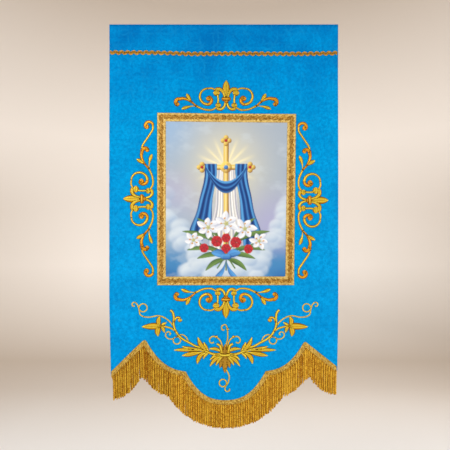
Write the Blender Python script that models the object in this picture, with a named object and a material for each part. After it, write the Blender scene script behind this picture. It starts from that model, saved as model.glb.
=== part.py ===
"""A blue processional church banner, hung flat from its top edge.

The front faces -Y, up is +Z and the origin is the middle of the top edge.
Plan positions are in millimetres, x to the right and z up, and every mesh
is written in metres. Each sewn piece is its own closed solid, laid on the
same hanging shape, a small gap in front of the piece behind it.
"""

import math

import bpy
from mathutils import Vector
from mathutils.geometry import delaunay_2d_cdt

MM = 0.001

# Cloth
HALF_WIDTH = 342.5
CLOTH_THICK = 1.5
HEM_WIDTH = 12.0
HEM_EXTRA = 1.0
HEM_SLOPE = 2.0
COLUMNS = 20
ROW_LEVELS = 22
FOLLOWING_ROWS = 4
LAST_LEVEL = -900.0
EDGE_COVER = 4.0
DRAW_IN_FROM = -800.0
DRAW_IN_RUN = 300.0
DRAW_IN_LEFT = 5.0
DRAW_IN_RIGHT = 3.0
CALM_TOP = 90.0

# Layers, as depths in front of the middle of the cloth
SEWN_BACK = 1.2
STITCH_FRONT = 2.4
PANEL_FRONT = 2.2
FRAME_BACK = 2.6
FRAME_FRONT = 3.9
HEADING_FRONT = 3.4

# Fringe
HEADING_WIDTH = 15.0
FRINGE_DEPTH = 85.0
STRANDS = 137
STRAND_PITCH = 5.0
STRAND_WIDTH = 4.4
STRAND_UNEVEN = 2.6
STRAND_SWAY = 1.1

# Places along the lower edge where the fringe below is a little shorter
NOTCHES = (-240.0, 246.0)
NOTCH_LIFT = 13.0
NOTCH_SPREAD = 22.0

# Top braid
BRAID_Z = -84.5
BRAID_WAVE = 18.3
BRAID_RIBBON = 8.2
BRAID_SWING = 2.7
BRAID_DIP = 3.6
BRAID_TILT = 1.7
BRAID_LEAN = 1.0

# Frame round the picture
FRAME_WIDTH = 26.0
FRAME_STEP = 34.0
PANEL_MARGIN = 3.0
PANEL_COLUMNS = 12
PANEL_ROWS = 15

# Embroidery: the turn between places of a curl, how much fuller stalks are sewn
# than drawn, the roundness and foot of a leaf, half the width of its point, how
# far an outline may be straightened, and the smallest hole
CURL_STEP = 38.0
STALK_FULLNESS = 1.2
LEAF_FULLNESS = 0.7
LEAF_FOOT = 0.35
POINT_HALF = 0.35
OUTLINE_SLACK = 0.3
SMALLEST_HOLE = 5.0

# Lower edge of the cloth from left to right: place and slope on either side.
LOWER_EDGE = (
    # x, z, slope before, slope after
    (-342.5, -1041.0, 0.95, 0.95),
    (-248.0, -951.5, 0.90, 0.90),
    (-232.0, -952.0, -1.80, -1.80),
    (-115.5, -1041.0, -0.10, -1.90),
    (4.0, -1126.5, 0.00, 0.00),
    (126.5, -1039.5, 1.90, 0.10),
    (238.0, -957.5, 1.80, 1.80),
    (254.0, -957.0, -0.80, -0.80),
    (342.5, -1026.0, -0.78, -0.78),
)

# Soft folds: a line from one end to the other, how wide and how far forward.
FOLDS = (
    # x0, z0, x1, z1, spread, forward
    (-190.0, 0.0, -60.0, -150.0, 30.0, -3.2),
    (-120.0, 0.0, -10.0, -120.0, 24.0, 2.0),
    (190.0, -20.0, 40.0, -170.0, 30.0, -3.0),
    (90.0, 0.0, 10.0, -90.0, 24.0, 1.8),
    (-300.0, -60.0, -240.0, -230.0, 45.0, -3.5),
    (290.0, -50.0, 330.0, -150.0, 40.0, -3.2),
    (-150.0, -150.0, -230.0, -330.0, 50.0, 2.6),
    (150.0, -160.0, 250.0, -330.0, 55.0, 2.6),
    (-300.0, -420.0, -280.0, -900.0, 60.0, 3.2),
    (290.0, -430.0, 300.0, -900.0, 65.0, 4.0),
    (-60.0, -860.0, 70.0, -870.0, 60.0, 2.2),
    (-90.0, -1060.0, 90.0, -1065.0, 55.0, -1.8),
)

# Outer corners of the braid round the picture.
FRAME_CORNERS = (
    # x, z
    (-199.5, -782.0),
    (210.5, -781.5),
    (216.5, -269.0),
    (-199.5, -265.0),
)

# Where each embroidered motif stands and which way its top points.
MOTIFS = (
    # name, motif, x, z, points
    ("scroll_top", "scroll", 7.4, -257.4, "up"),
    ("scroll_bottom", "scroll", 6.2, -791.0, "down"),
    ("scroll_left", "long_scroll", -211.5, -523.0, "left"),
    ("scroll_right", "long_scroll", 223.5, -527.5, "right"),
    ("lower_spray", "spray", 3.4, -1051.5, "up"),
)


def clear_scene():
    for obj in list(bpy.data.objects):
        bpy.data.objects.remove(obj, do_unlink=True)


def fabric(name, colour, roughness, metallic=0.0):
    material = bpy.data.materials.new(name)
    material.use_nodes = True
    shader = material.node_tree.nodes["Principled BSDF"]
    shader.inputs["Base Color"].default_value = (*colour, 1.0)
    shader.inputs["Roughness"].default_value = roughness
    shader.inputs["Metallic"].default_value = metallic
    return material


def smooth(t):
    t = min(max(t, 0.0), 1.0)
    return t * t * (3 - 2 * t)


def hang(x, z):
    """How far back the middle of the cloth hangs at a place in the plan."""
    y = 0.0
    for x0, z0, x1, z1, spread, forward in FOLDS:
        dx, dz = x1 - x0, z1 - z0
        t = ((x - x0) * dx + (z - z0) * dz) / (dx * dx + dz * dz)
        t = min(max(t, 0.0), 1.0)
        away = math.hypot(x - x0 - t * dx, z - z0 - t * dz)
        y -= forward * math.exp(-0.5 * (away / spread) ** 2)
    return y * smooth(-z / CALM_TOP)


def lower_edge(x):
    """Height of the line where the fringe's heading begins."""
    for left, right in zip(LOWER_EDGE, LOWER_EDGE[1:]):
        if x <= right[0]:
            break
    span = right[0] - left[0]
    t = (x - left[0]) / span
    h0 = 2 * t**3 - 3 * t**2 + 1
    h1 = t**3 - 2 * t**2 + t
    h2 = 3 * t**2 - 2 * t**3
    h3 = t**3 - t**2
    return h0 * left[1] + h2 * right[1] + span * (h1 * left[3] + h3 * right[2])


def below_edge(x, distance):
    """Height of the line that runs this far outside the lower edge."""
    reach = int(distance)
    lowest = 0.0
    for step in range(-reach, reach + 1):
        place = min(max(x + step, -HALF_WIDTH), HALF_WIDTH)
        across = min(abs(place - x), distance)
        drop = math.sqrt(distance * distance - across * across)
        lowest = min(lowest, lower_edge(place) - drop)
    return lowest


def strand_tip(x):
    """Height of the fringe's lower line, which rises more sharply under the two notches."""
    lift = sum(NOTCH_LIFT * math.exp(-(((x - notch) / NOTCH_SPREAD) ** 2)) for notch in NOTCHES)
    return below_edge(x, FRINGE_DEPTH) + lift


def add_mesh(name, points, faces, material):
    mesh = bpy.data.meshes.new(name)
    mesh.from_pydata([(x * MM, y * MM, z * MM) for x, y, z in points], [], faces)
    mesh.materials.append(material)
    mesh.update()
    obj = bpy.data.objects.new(name, mesh)
    bpy.context.scene.collection.objects.link(obj)
    return obj


def side_drift(x, z):
    """How far the lower part draws in towards the middle at the left and right edges."""
    low = smooth((DRAW_IN_FROM - z) / DRAW_IN_RUN)
    return -x / HALF_WIDTH * low * (DRAW_IN_LEFT if x < 0 else DRAW_IN_RIGHT)


def cloth_columns():
    """Where the cloth's columns stand: even steps drawn to the corners of its lower edge."""
    inner = HALF_WIDTH - HEM_WIDTH
    corners = [row[0] for row in LOWER_EDGE]
    left_notch, right_notch = (corners[1] + corners[2]) / 2, (corners[6] + corners[7]) / 2
    marks = [-inner + HEM_SLOPE, left_notch, *corners[3:6], right_notch, inner - HEM_SLOPE]
    xs = [-HALF_WIDTH, -inner]
    for left, right in zip(marks, marks[1:]):
        parts = max(1, round((right - left) / (2 * inner) * COLUMNS))
        xs += [left + (right - left) * k / parts for k in range(parts)]
    return xs + [inner - HEM_SLOPE, inner, HALF_WIDTH]


def cloth_heights(x):
    """The heights of one column's points, the last few following the lower edge."""
    drop = below_edge(x, HEADING_WIDTH) + EDGE_COVER - LAST_LEVEL
    heights = [LAST_LEVEL * k / ROW_LEVELS for k in range(ROW_LEVELS + 1)]
    return heights + [LAST_LEVEL + drop * k / FOLLOWING_ROWS for k in range(1, FOLLOWING_ROWS + 1)]


def grid(columns, rows):
    """Triangles of a grid laid out column by column, from the top row down."""
    faces = []
    for i in range(columns):
        for j in range(rows):
            a = i * (rows + 1) + j
            b = a + rows + 1
            if i < columns / 2:
                faces += [[a, a + 1, b], [a + 1, b + 1, b]]
            else:
                faces += [[a, a + 1, b + 1], [a, b + 1, b]]
    return faces


def height_in(corners, x, z):
    """Depth of the plane through three corners at a place, and how far the place lies inside."""
    (x0, z0, y0), (x1, z1, y1), (x2, z2, y2) = corners
    whole = (x1 - x0) * (z2 - z0) - (x2 - x0) * (z1 - z0)
    s = ((x - x0) * (z2 - z0) - (x2 - x0) * (z - z0)) / whole
    t = ((x1 - x0) * (z - z0) - (x - x0) * (z1 - z0)) / whole
    return y0 + s * (y1 - y0) + t * (y2 - y0), min(s, t, 1 - s - t)


COLUMN_PLACES = cloth_columns()
COLUMN_HEIGHTS = [cloth_heights(x) for x in COLUMN_PLACES]
COLUMN_DEPTHS = [[hang(x, z) for z in zs] for x, zs in zip(COLUMN_PLACES, COLUMN_HEIGHTS)]


def laid(x, z):
    """Depth of the cloth's own facets at a place, so that what is sewn on lies along them."""
    x = min(max(x - side_drift(x, z), -HALF_WIDTH), HALF_WIDTH)
    i = 0
    while i < len(COLUMN_PLACES) - 2 and COLUMN_PLACES[i + 1] < x:
        i += 1
    share = (x - COLUMN_PLACES[i]) / (COLUMN_PLACES[i + 1] - COLUMN_PLACES[i])
    levels = [a + (b - a) * share for a, b in zip(COLUMN_HEIGHTS[i], COLUMN_HEIGHTS[i + 1])]
    j = 0
    while j < len(levels) - 2 and levels[j + 1] > z:
        j += 1
    z = max(z, levels[-1])
    cell = []
    for column in (i, i + 1):
        for row in (j, j + 1):
            cell.append((COLUMN_PLACES[column], COLUMN_HEIGHTS[column][row], COLUMN_DEPTHS[column][row]))
    halves = ((0, 1, 2), (1, 3, 2)) if i < (len(COLUMN_PLACES) - 1) / 2 else ((0, 1, 3), (0, 3, 2))
    found = [height_in([cell[k] for k in half], x, z) for half in halves]
    return max(found, key=lambda pair: pair[1])[0]


def plate(name, plan, faces, front, back, material):
    """A closed sheet over a flat layout whose faces run anticlockwise from the front.

    front and back are the depths of its two sides before the middle of the cloth,
    one number for all or one for each point.
    """
    count = len(plan)
    fronts = front if isinstance(front, list) else [front] * count
    backs = back if isinstance(back, list) else [back] * count
    depths = [laid(x, z) for x, z in plan]
    points = [(x, y - f, z) for (x, z), y, f in zip(plan, depths, fronts)]
    points += [(x, y - b, z) for (x, z), y, b in zip(plan, depths, backs)]
    edges = set()
    for face in faces:
        edges.update(zip(face, face[1:] + face[:1]))
    solid = [list(face) for face in faces]
    solid += [[i + count for i in reversed(face)] for face in faces]
    for a, b in sorted(edges):
        if (b, a) not in edges:
            solid.append([b, a, a + count, b + count])
    return add_mesh(name, points, solid, material)


def build_cloth(material):
    plan = []
    backs = []
    for x, heights in zip(COLUMN_PLACES, COLUMN_HEIGHTS):
        hem = HEM_EXTRA if abs(x) >= HALF_WIDTH - HEM_WIDTH else 0.0
        for z in heights:
            plan.append((x + side_drift(x, z), z))
            backs.append(-CLOTH_THICK / 2 - hem)
    faces = grid(len(COLUMN_PLACES) - 1, ROW_LEVELS + FOLLOWING_ROWS)
    plate("banner_cloth", plan, faces, CLOTH_THICK / 2, backs, material)


def build_fringe(material):
    """The heading strip with its strands as one solid."""
    first = -STRAND_PITCH * (STRANDS - 1) / 2
    xs = []
    for i in range(STRANDS):
        middle = first + i * STRAND_PITCH
        xs += [middle - STRAND_WIDTH / 2, middle + STRAND_WIDTH / 2]
    points = []
    for x in xs:
        top, bottom = lower_edge(x), below_edge(x, HEADING_WIDTH)
        shift = x + side_drift(x, top)
        for z in (top, bottom):
            y = laid(shift, z)
            points += [(shift, y - HEADING_FRONT, z), (shift, y - SEWN_BACK, z)]
    # each column of the strip holds front top, back top, front bottom and back bottom
    faces = []
    last = 4 * (len(xs) - 1)
    faces.append([0, 1, 3, 2])
    faces.append([last + 2, last + 3, last + 1, last])
    for k in range(len(xs) - 1):
        a, b = 4 * k, 4 * k + 4
        faces += [[a, a + 2, b + 2], [a, b + 2, b]]
        faces += [[a + 1, b + 1, b + 3], [a + 1, b + 3, a + 3]]
        faces.append([a, b, b + 1, a + 1])
        if k % 2:
            faces.append([a + 2, a + 3, b + 3, b + 2])
            continue
        i = k // 2
        uneven = STRAND_UNEVEN * (math.sin(2.4 * i) + 0.8 * math.sin(0.9 * i + 1.0))
        sway = STRAND_SWAY * (math.sin(1.7 * i) + 0.7 * math.sin(0.37 * i))
        middle = (xs[k] + xs[k + 1]) / 2
        tip = strand_tip(middle) + uneven
        y = laid(middle, tip)
        base = len(points)
        for corner in (a, b):
            x = points[corner][0]
            points.append((x, y - HEADING_FRONT - sway, tip))
            points.append((x, y - SEWN_BACK - sway, tip))
        front_left, back_left, front_right, back_right = base, base + 1, base + 2, base + 3
        faces += [[a + 2, front_left, front_right], [a + 2, front_right, b + 2]]
        faces += [[a + 3, b + 3, back_right], [a + 3, back_right, back_left]]
        faces += [[a + 2, a + 3, back_left], [a + 2, back_left, front_left]]
        faces += [[b + 2, front_right, back_right], [b + 2, back_right, b + 3]]
        faces.append([front_left, back_left, back_right, front_right])
    add_mesh("fringe", points, faces, material)


def around(centre, radius, degrees):
    angle = math.radians(degrees)
    return centre[0] + radius * math.cos(angle), centre[1] + radius * math.sin(angle)


def leaf(base, tip, width, bow=0.0, belly=0.5, steps=4):
    """A pointed leaf; bow is its sideways bend and belly the place of its widest part."""
    du, dv = tip[0] - base[0], tip[1] - base[1]
    skew = math.log(0.5) / math.log(belly)
    spine = []
    for i in range(steps + 1):
        t = i / steps
        side = bow * math.sin(math.pi * t)
        bulge = max(math.sin(math.pi * t**skew), 0.0) ** LEAF_FULLNESS
        half = width / 2 * max(bulge, LEAF_FOOT * (1 - t))
        spine.append((base[0] + du * t - dv * side, base[1] + dv * t + du * side, half))
    return spine


def vine(places, widths, steps=2):
    """A stalk drawn smoothly through a few places."""
    ends = [places[0], *places, places[-1]]
    spine = []
    spans = len(places) - 1
    for k in range(spans):
        a, b, c, d = ends[k : k + 4]
        for i in range(steps + (k == spans - 1)):
            t = i / steps
            spot = []
            for axis in (0, 1):
                out, into = (c[axis] - a[axis]) / 2, (d[axis] - b[axis]) / 2
                h0, h1 = 2 * t**3 - 3 * t**2 + 1, t**3 - 2 * t**2 + t
                h2, h3 = 3 * t**2 - 2 * t**3, t**3 - t**2
                spot.append(h0 * b[axis] + h1 * out + h2 * c[axis] + h3 * into)
            share = (k + t) / spans
            half = (widths[0] + (widths[1] - widths[0]) * share) / 2
            spine.append((spot[0], spot[1], half * STALK_FULLNESS))
    return spine


def curl(centre, radii, degrees, widths):
    """A scroll that winds round a centre from the first radius and angle to the second."""
    steps = max(2, round(abs(degrees[1] - degrees[0]) / CURL_STEP))
    spine = []
    for i in range(steps + 1):
        t = i / steps
        radius = radii[0] + (radii[1] - radii[0]) * t
        u, v = around(centre, radius, degrees[0] + (degrees[1] - degrees[0]) * t)
        half = (widths[0] + (widths[1] - widths[0]) * t) / 2
        spine.append((u, v, half * STALK_FULLNESS))
    return spine


def knob(centre, radius):
    """A round knob, as a short spine whose widths follow a circle."""
    spine = []
    for share in (-1.0, -0.6, 0.6, 1.0):
        half = radius * math.sqrt(max(1 - share * share, 0.06))
        spine.append((centre[0] + radius * share, centre[1], half))
    return spine


def scroll_half():
    return [
        # lower stalk with two leaves and an end curl
        vine([(27, 10), (44, 1), (68, 3), (92, 14)], (5, 5.6)),
        leaf((88, 9), (119, 50), 13, bow=-0.06, belly=0.66),
        leaf((88, 13), (134, 3), 11.5, bow=0.06, belly=0.62),
        vine([(90, 12), (107, 27), (127, 35), (143, 33)], (4.5, 9.5)),
        curl((143, 23), (10.5, 7), (90, -60), (10, 10)),
        knob((147, 18), 7),
        # large scroll
        vine([(31, 60), (44, 66), (57, 65)], (4.5, 4.8)),
        curl((55, 41), (24.5, 23.5), (88, -90), (4.8, 8)),
        curl((55, 31), (13.5, 7), (-90, -290), (8, 10)),
        knob((54, 34), 7.2),
        # side petal of the lily, its curl and the link to the lower one
        vine([(26, 48), (24, 34), (25, 18)], (5.4, 5.6)),
        vine([(3, 33), (8, 52), (19, 63), (32, 61)], (6, 11)),
        knob((29, 52), 9.3),
        # lower petal and its curl
        vine([(2, 25), (6, 11), (16, 3), (28, 6)], (5.5, 8.5)),
        knob((24, 15), 8),
        # half of the heart that holds the lily
        knob((7, 34), 7),
    ]


def scroll_lily():
    return [
        leaf((0, 28), (0, 90), 23, belly=0.6, steps=6),
        leaf((0, 44), (0, 18), 16),
        leaf((-14, 34), (14, 34), 10),
    ]


def scroll_end():
    return [
        vine([(132, 34), (158, 32), (184, 16), (206, 2), (222, 1)], (5, 6)),
        curl((219, 14), (14, 8), (-80, 130), (7, 10)),
        knob((216, 19), 7.5),
    ]


def spray_half():
    return [
        # upper tendril: stalk, loop and end curl
        vine([(153, 143), (162, 157), (179, 171), (200, 178), (225, 174), (243, 175)], (3.4, 3.2)),
        vine([(243, 175), (254, 182), (257, 196), (262, 211), (270, 219)], (3.2, 3.2)),
        vine([(269, 219), (277, 216), (277, 208), (270, 207)], (3.2, 3.2)),
        curl((245, 202), (12, 12), (0, 330), (3.2, 3.2)),
        # lower tendril: stalk, loop and end curl
        vine([(110, 101), (116, 114), (127, 121), (138, 119), (147, 113)], (3.2, 3.2)),
        curl((144, 104), (11, 11), (60, -280), (3.2, 3.2)),
        vine([(153, 110), (161, 108), (171, 110), (178, 118), (176, 127)], (3.2, 3.2)),
        vine([(176, 127), (169, 130), (163, 125), (166, 120)], (3.2, 3.2)),
        # main stalk with its hooked tip and side curl
        vine([(72, 83), (88, 87), (106, 97), (126, 108), (141, 121)], (6.5, 6.5)),
        vine([(141, 121), (150, 137), (154, 154), (153, 172), (156, 187), (163, 195)], (6.5, 7)),
        vine([(153, 158), (149, 168), (142, 173), (134, 171)], (5, 7)),
        knob((135, 165), 6.5),
        # flower on its branch
        vine([(147, 131), (163, 141), (186, 147)], (4.6, 5)),
        leaf((192, 149), (175, 158), 10),
        leaf((192, 150), (181, 127), 12, bow=-0.05),
        leaf((194, 146), (194, 177), 15, bow=-0.17),
        leaf((195, 150), (200, 116), 18, bow=0.12),
        leaf((186, 148), (249, 145), 21, belly=0.45, steps=5),
        knob((193, 148), 4.4),
        # lower side of the acanthus leaf
        leaf((46, 67), (65, 48), 10, bow=0.14),
        leaf((52, 68), (83, 33), 15, bow=0.2, belly=0.6),
        # its long side, in three lobes
        leaf((62, 70), (129, 58), 15, belly=0.6),
        leaf((62, 78), (129, 86), 11, bow=-0.05, belly=0.6),
        leaf((60, 73), (153, 75), 13, bow=0.02, belly=0.62),
        # its upper side
        leaf((48, 71), (63, 99), 12, bow=-0.06),
        leaf((50, 71), (81, 114), 15, bow=-0.12),
        # stalk from the palmette
        vine([(8, 64), (28, 62), (44, 66), (62, 74)], (8, 7)),
        # side tendril with its bud
        vine([(6, 76), (12, 100), (25, 115)], (3.4, 3.2)),
        vine([(25, 115), (37, 116), (45, 109), (45, 100), (39, 96), (33, 99)], (3.2, 3.2)),
        knob((26, 115), 4.4),
        # palmette: upper side petal and the hanging petals
        leaf((8, 68), (48, 78), 12, bow=0.13),
        leaf((7, 56), (27, 29), 11, bow=0.06),
        leaf((7, 58), (45, 26), 13, bow=0.11),
        leaf((7, 60), (45, 45), 11, bow=0.15),
        # crown petal with its hooked tip
        vine([(9, 60), (12, 78), (15, 88), (24, 94)], (9, 6.5)),
    ]


def spray_centre():
    return [
        # lower tendril with its loop and end curl
        vine([(1, 20), (9, 7), (13, -6), (10, -22), (3, -33)], (3.6, 3.2)),
        vine([(3, -33), (0, -42), (5, -49), (13, -47), (14, -41)], (3.2, 3.2)),
        curl((-6, -24), (11, 11), (-35, -385), (3.2, 3.2)),
        # upper tendril with its bud
        vine([(1, 84), (8, 108), (8, 137)], (3.4, 3.2)),
        vine([(8, 138), (2, 151), (-9, 147), (-8, 136), (-1, 136)], (3.2, 3.2)),
        knob((8, 138), 4),
        # cup above the band and bell below it
        leaf((-4, 56), (-7, 90), 9),
        leaf((4, 56), (7, 90), 9),
        leaf((0, 56), (0, 93), 9),
        leaf((-5, 60), (-15, 21), 14),
        leaf((5, 60), (15, 21), 14),
        leaf((0, 60), (0, 6), 20, belly=0.4),
        vine([(-17, 60), (0, 58), (17, 60)], (8, 8)),
    ]


def mirrored(strokes):
    return [[(-u, v, half) for u, v, half in spine] for spine in strokes]


def motif_strokes(motif):
    if motif == "spray":
        half = spray_half()
        return half + mirrored(half) + spray_centre()
    half = scroll_half()
    strokes = half + mirrored(half) + scroll_lily()
    if motif == "long_scroll":
        strokes += scroll_end() + mirrored(scroll_end())
    return strokes


def placed(strokes, x, z, points):
    """The strokes moved into the plan, their top turned the way it points."""
    turned = {"up": (1, 0, 0, 1), "down": (1, 0, 0, -1), "left": (0, -1, 1, 0), "right": (0, 1, 1, 0)}
    xu, xv, zu, zv = turned[points]
    return [[(x + xu * u + xv * v, z + zu * u + zv * v, half) for u, v, half in s] for s in strokes]


def quads_of(spine):
    """The pieces of a stroke, each an anticlockwise quad between two places of its spine."""
    sides = []
    for i, (u, v, half) in enumerate(spine):
        a, b = spine[max(i - 1, 0)], spine[min(i + 1, len(spine) - 1)]
        du, dv = b[0] - a[0], b[1] - a[1]
        run = math.hypot(du, dv)
        across_u, across_v = dv / run * max(half, POINT_HALF), -du / run * max(half, POINT_HALF)
        sides.append(((u + across_u, v + across_v), (u - across_u, v - across_v)))
    return [[p[0], q[0], q[1], p[1]] for p, q in zip(sides, sides[1:])]


def boundary_loops(faces):
    """The closed loops round a set of anticlockwise faces."""
    edges = set()
    for face in faces:
        edges.update(zip(face, face[1:] + face[:1]))
    after = {}
    for a, b in edges:
        if (b, a) not in edges:
            after.setdefault(a, []).append(b)
    loops = []
    while after:
        start = min(after)
        loop = [start]
        place = start
        while True:
            nexts = after[place]
            step = nexts.pop()
            if not nexts:
                del after[place]
            place = step
            if place == start:
                break
            loop.append(place)
        loops.append(loop)
    return loops


def area(loop):
    total = 0.0
    for (x0, z0), (x1, z1) in zip(loop, loop[1:] + loop[:1]):
        total += x0 * z1 - x1 * z0
    return total / 2


def thinned(loop, slack):
    """The loop without the points that lie within slack of a straight line."""

    def keep(first, last):
        (ax, az), (bx, bz) = loop[first], loop[last % len(loop)]
        run = math.hypot(bx - ax, bz - az) or 1e-9
        worst, place = 0.0, None
        for k in range(first + 1, last):
            px, pz = loop[k]
            away = abs((px - ax) * (bz - az) - (pz - az) * (bx - ax)) / run
            if away > worst:
                worst, place = away, k
        if worst <= slack:
            return [first]
        return keep(first, place) + keep(place, last)

    far = max(range(len(loop)), key=lambda k: math.dist(loop[0], loop[k]))
    kept = keep(0, far) + keep(far, len(loop))
    return [loop[k] for k in kept]


def inside(x, z, loops):
    """Whether a place lies inside an odd number of loops."""
    odd = False
    for loop in loops:
        for (x0, z0), (x1, z1) in zip(loop, loop[1:] + loop[:1]):
            if (z0 > z) != (z1 > z) and x < x0 + (z - z0) / (z1 - z0) * (x1 - x0):
                odd = not odd
    return odd


def fill(loops):
    """Points and triangles of the area between closed loops."""
    plan = [Vector(p) for loop in loops for p in loop]
    edges = []
    start = 0
    for loop in loops:
        edges += [(start + k, start + (k + 1) % len(loop)) for k in range(len(loop))]
        start += len(loop)
    found = delaunay_2d_cdt(plan, edges, [], 0, 1e-4)
    spots = [(p.x, p.y) for p in found[0]]
    faces = []
    for face in found[2]:
        x = sum(spots[i][0] for i in face) / 3
        z = sum(spots[i][1] for i in face) / 3
        if inside(x, z, loops):
            faces.append(list(face))
    return spots, faces


def build_motif(name, motif, x, z, points, material):
    """An embroidered motif: its strokes joined into one raised solid."""
    corners, quads = [], []
    for spine in placed(motif_strokes(motif), x, z, points):
        for quad in quads_of(spine):
            if area(quad) < 0:
                quad = quad[::-1]
            quads.append([len(corners) + k for k in range(4)])
            corners += [Vector(p) for p in quad]
    found = delaunay_2d_cdt(corners, [], quads, 1, 0.02)
    spots = [(p.x, p.y) for p in found[0]]
    covered = [list(face) for face, source in zip(found[2], found[5]) if source]
    loops = [[spots[i] for i in loop] for loop in boundary_loops(covered)]
    loops = [thinned(loop, OUTLINE_SLACK) for loop in loops if abs(area(loop)) > SMALLEST_HOLE]
    plan, faces = fill(loops)
    return plate(name, plan, faces, STITCH_FRONT, SEWN_BACK, material)


def build_top_braid(material):
    """A ribbon that waves along the top of the cloth, four places to each wave."""
    half_length = HALF_WIDTH - 2
    waves = round(2 * half_length / BRAID_WAVE)
    upper, lower = [], []
    for k in range(4 * waves):
        turn = 0.125 + k / 4
        x = -half_length + 2 * half_length * (k / (4 * waves - 1))
        level = BRAID_Z - BRAID_DIP * math.cos(x / HALF_WIDTH * math.pi / 2)
        level -= BRAID_TILT * x / HALF_WIDTH
        level += BRAID_SWING * math.sin(2 * math.pi * turn) / math.sin(math.pi / 4)
        lean = BRAID_LEAN * math.cos(2 * math.pi * turn)
        upper.append((x - lean, level + BRAID_RIBBON / 2))
        lower.append((x + lean, level - BRAID_RIBBON / 2))
    plan, faces = fill([lower + upper[::-1]])
    return plate("top_braid", plan, faces, STITCH_FRONT, SEWN_BACK, material)


def inset_corners(inset):
    """The corners of the frame moved inwards by a width."""
    cx = sum(p[0] for p in FRAME_CORNERS) / 4
    cz = sum(p[1] for p in FRAME_CORNERS) / 4
    return [(x - math.copysign(inset, x - cx), z - math.copysign(inset, z - cz)) for x, z in FRAME_CORNERS]


def between(a, b, share):
    return a[0] + (b[0] - a[0]) * share, a[1] + (b[1] - a[1]) * share


def build_picture_braid(material):
    """The braid round the picture."""
    loops = []
    for inset in (0.0, FRAME_WIDTH):
        corners = inset_corners(inset)
        loop = []
        for a, b in zip(corners, corners[1:] + corners[:1]):
            parts = round(math.dist(a, b) / FRAME_STEP)
            loop += [between(a, b, k / parts) for k in range(parts)]
        loops.append(loop)
    plan, faces = fill(loops)
    return plate("picture_braid", plan, faces, FRAME_FRONT, FRAME_BACK, material)


def build_panel(material):
    """The printed cloth under the frame, plain here."""
    low_left, low_right, top_right, top_left = inset_corners(PANEL_MARGIN)
    plan = []
    for i in range(PANEL_COLUMNS + 1):
        s = i / PANEL_COLUMNS
        for j in range(PANEL_ROWS + 1):
            t = j / PANEL_ROWS
            plan.append(between(between(top_left, top_right, s), between(low_left, low_right, s), t))
    plate("picture_panel", plan, grid(PANEL_COLUMNS, PANEL_ROWS), PANEL_FRONT, SEWN_BACK, material)


def main():
    clear_scene()
    blue = fabric("blue_damask", (0.003, 0.32, 0.72), 0.55)
    gold = fabric("gold_thread", (0.80, 0.50, 0.06), 0.42)
    old_gold = fabric("fringe_gold", (0.55, 0.32, 0.07), 0.5)
    braid = fabric("braid_gold", (0.72, 0.50, 0.20), 0.45)
    print_cloth = fabric("picture_print", (0.62, 0.66, 0.80), 0.6)
    build_cloth(blue)
    build_fringe(old_gold)
    build_top_braid(braid)
    build_panel(print_cloth)
    build_picture_braid(braid)
    for name, motif, x, z, points in MOTIFS:
        build_motif(name, motif, x, z, points, gold)


main()
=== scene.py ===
"""The looks of the church banner: woven cloth, satin stitch, braid, print and fringe.

The front faces -Y. Plan positions are in millimetres from the middle of the top
edge, x to the right and z up, and meshes are written in metres.
"""

import math
import bpy
import numpy as np
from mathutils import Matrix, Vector


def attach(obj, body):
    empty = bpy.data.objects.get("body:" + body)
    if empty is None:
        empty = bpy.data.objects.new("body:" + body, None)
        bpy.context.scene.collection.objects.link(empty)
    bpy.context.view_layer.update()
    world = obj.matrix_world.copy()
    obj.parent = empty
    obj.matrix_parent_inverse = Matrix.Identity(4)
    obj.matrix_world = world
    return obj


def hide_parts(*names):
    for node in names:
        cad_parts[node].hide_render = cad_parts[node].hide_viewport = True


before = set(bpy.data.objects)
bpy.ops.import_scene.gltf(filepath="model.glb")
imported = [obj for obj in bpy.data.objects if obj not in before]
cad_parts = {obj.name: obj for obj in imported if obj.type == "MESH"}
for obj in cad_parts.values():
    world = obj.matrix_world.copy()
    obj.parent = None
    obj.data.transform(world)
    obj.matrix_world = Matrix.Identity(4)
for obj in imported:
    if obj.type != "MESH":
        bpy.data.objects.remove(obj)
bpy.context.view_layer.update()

MM = 0.001

# Sizes that the solids share
HALF_WIDTH = 342.5
HEADING_WIDTH = 15.0
FRINGE_DEPTH = 85.0
EDGE_COVER = 4.0
CALM_TOP = 90.0
DRAW_IN_FROM = -800.0
DRAW_IN_RUN = 300.0
DRAW_IN_LEFT = 5.0
DRAW_IN_RIGHT = 3.0

# Photograph
PHOTO_SIDE = 450
MM_PER_PIXEL = 3.0
PHOTO_CENTRE_X = 3.75
PHOTO_CENTRE_Z = -601.5
CAMERA_DISTANCE = 2.6
SENSOR = 36.0

# Cloth
CLOTH_STEP = 5.0
CLOTH_THICK = 0.9
CLOTH_MIDDLE = 0.3
HEM_WIDTH = 12.0
HEM_BEHIND = 1.05
LAST_LEVEL = -900.0
LOWER_ROWS = 45
CLOTH_DROP = 1.126
PUCKER_REACH = 22.0
FRONT = CLOTH_MIDDLE + CLOTH_THICK / 2

# Columns of each hem, from the turn just past the edge to its raw side
HEM_COLUMNS = (
    # in from the edge, behind the cloth
    (-0.4, 0.62),
    (0.0, HEM_BEHIND),
    (6.0, HEM_BEHIND),
    (HEM_WIDTH, HEM_BEHIND),
)

# Lower edge of the cloth from left to right: place and slope on either side.
LOWER_EDGE = (
    # x, z, slope before, slope after
    (-342.5, -1041.0, 0.95, 0.95),
    (-248.0, -951.5, 0.90, 0.90),
    (-232.0, -952.0, -1.80, -1.80),
    (-115.5, -1041.0, -0.10, -1.90),
    (4.0, -1126.5, 0.00, 0.00),
    (126.5, -1039.5, 1.90, 0.10),
    (238.0, -957.5, 1.80, 1.80),
    (254.0, -957.0, -0.80, -0.80),
    (342.5, -1026.0, -0.78, -0.78),
)

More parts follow.
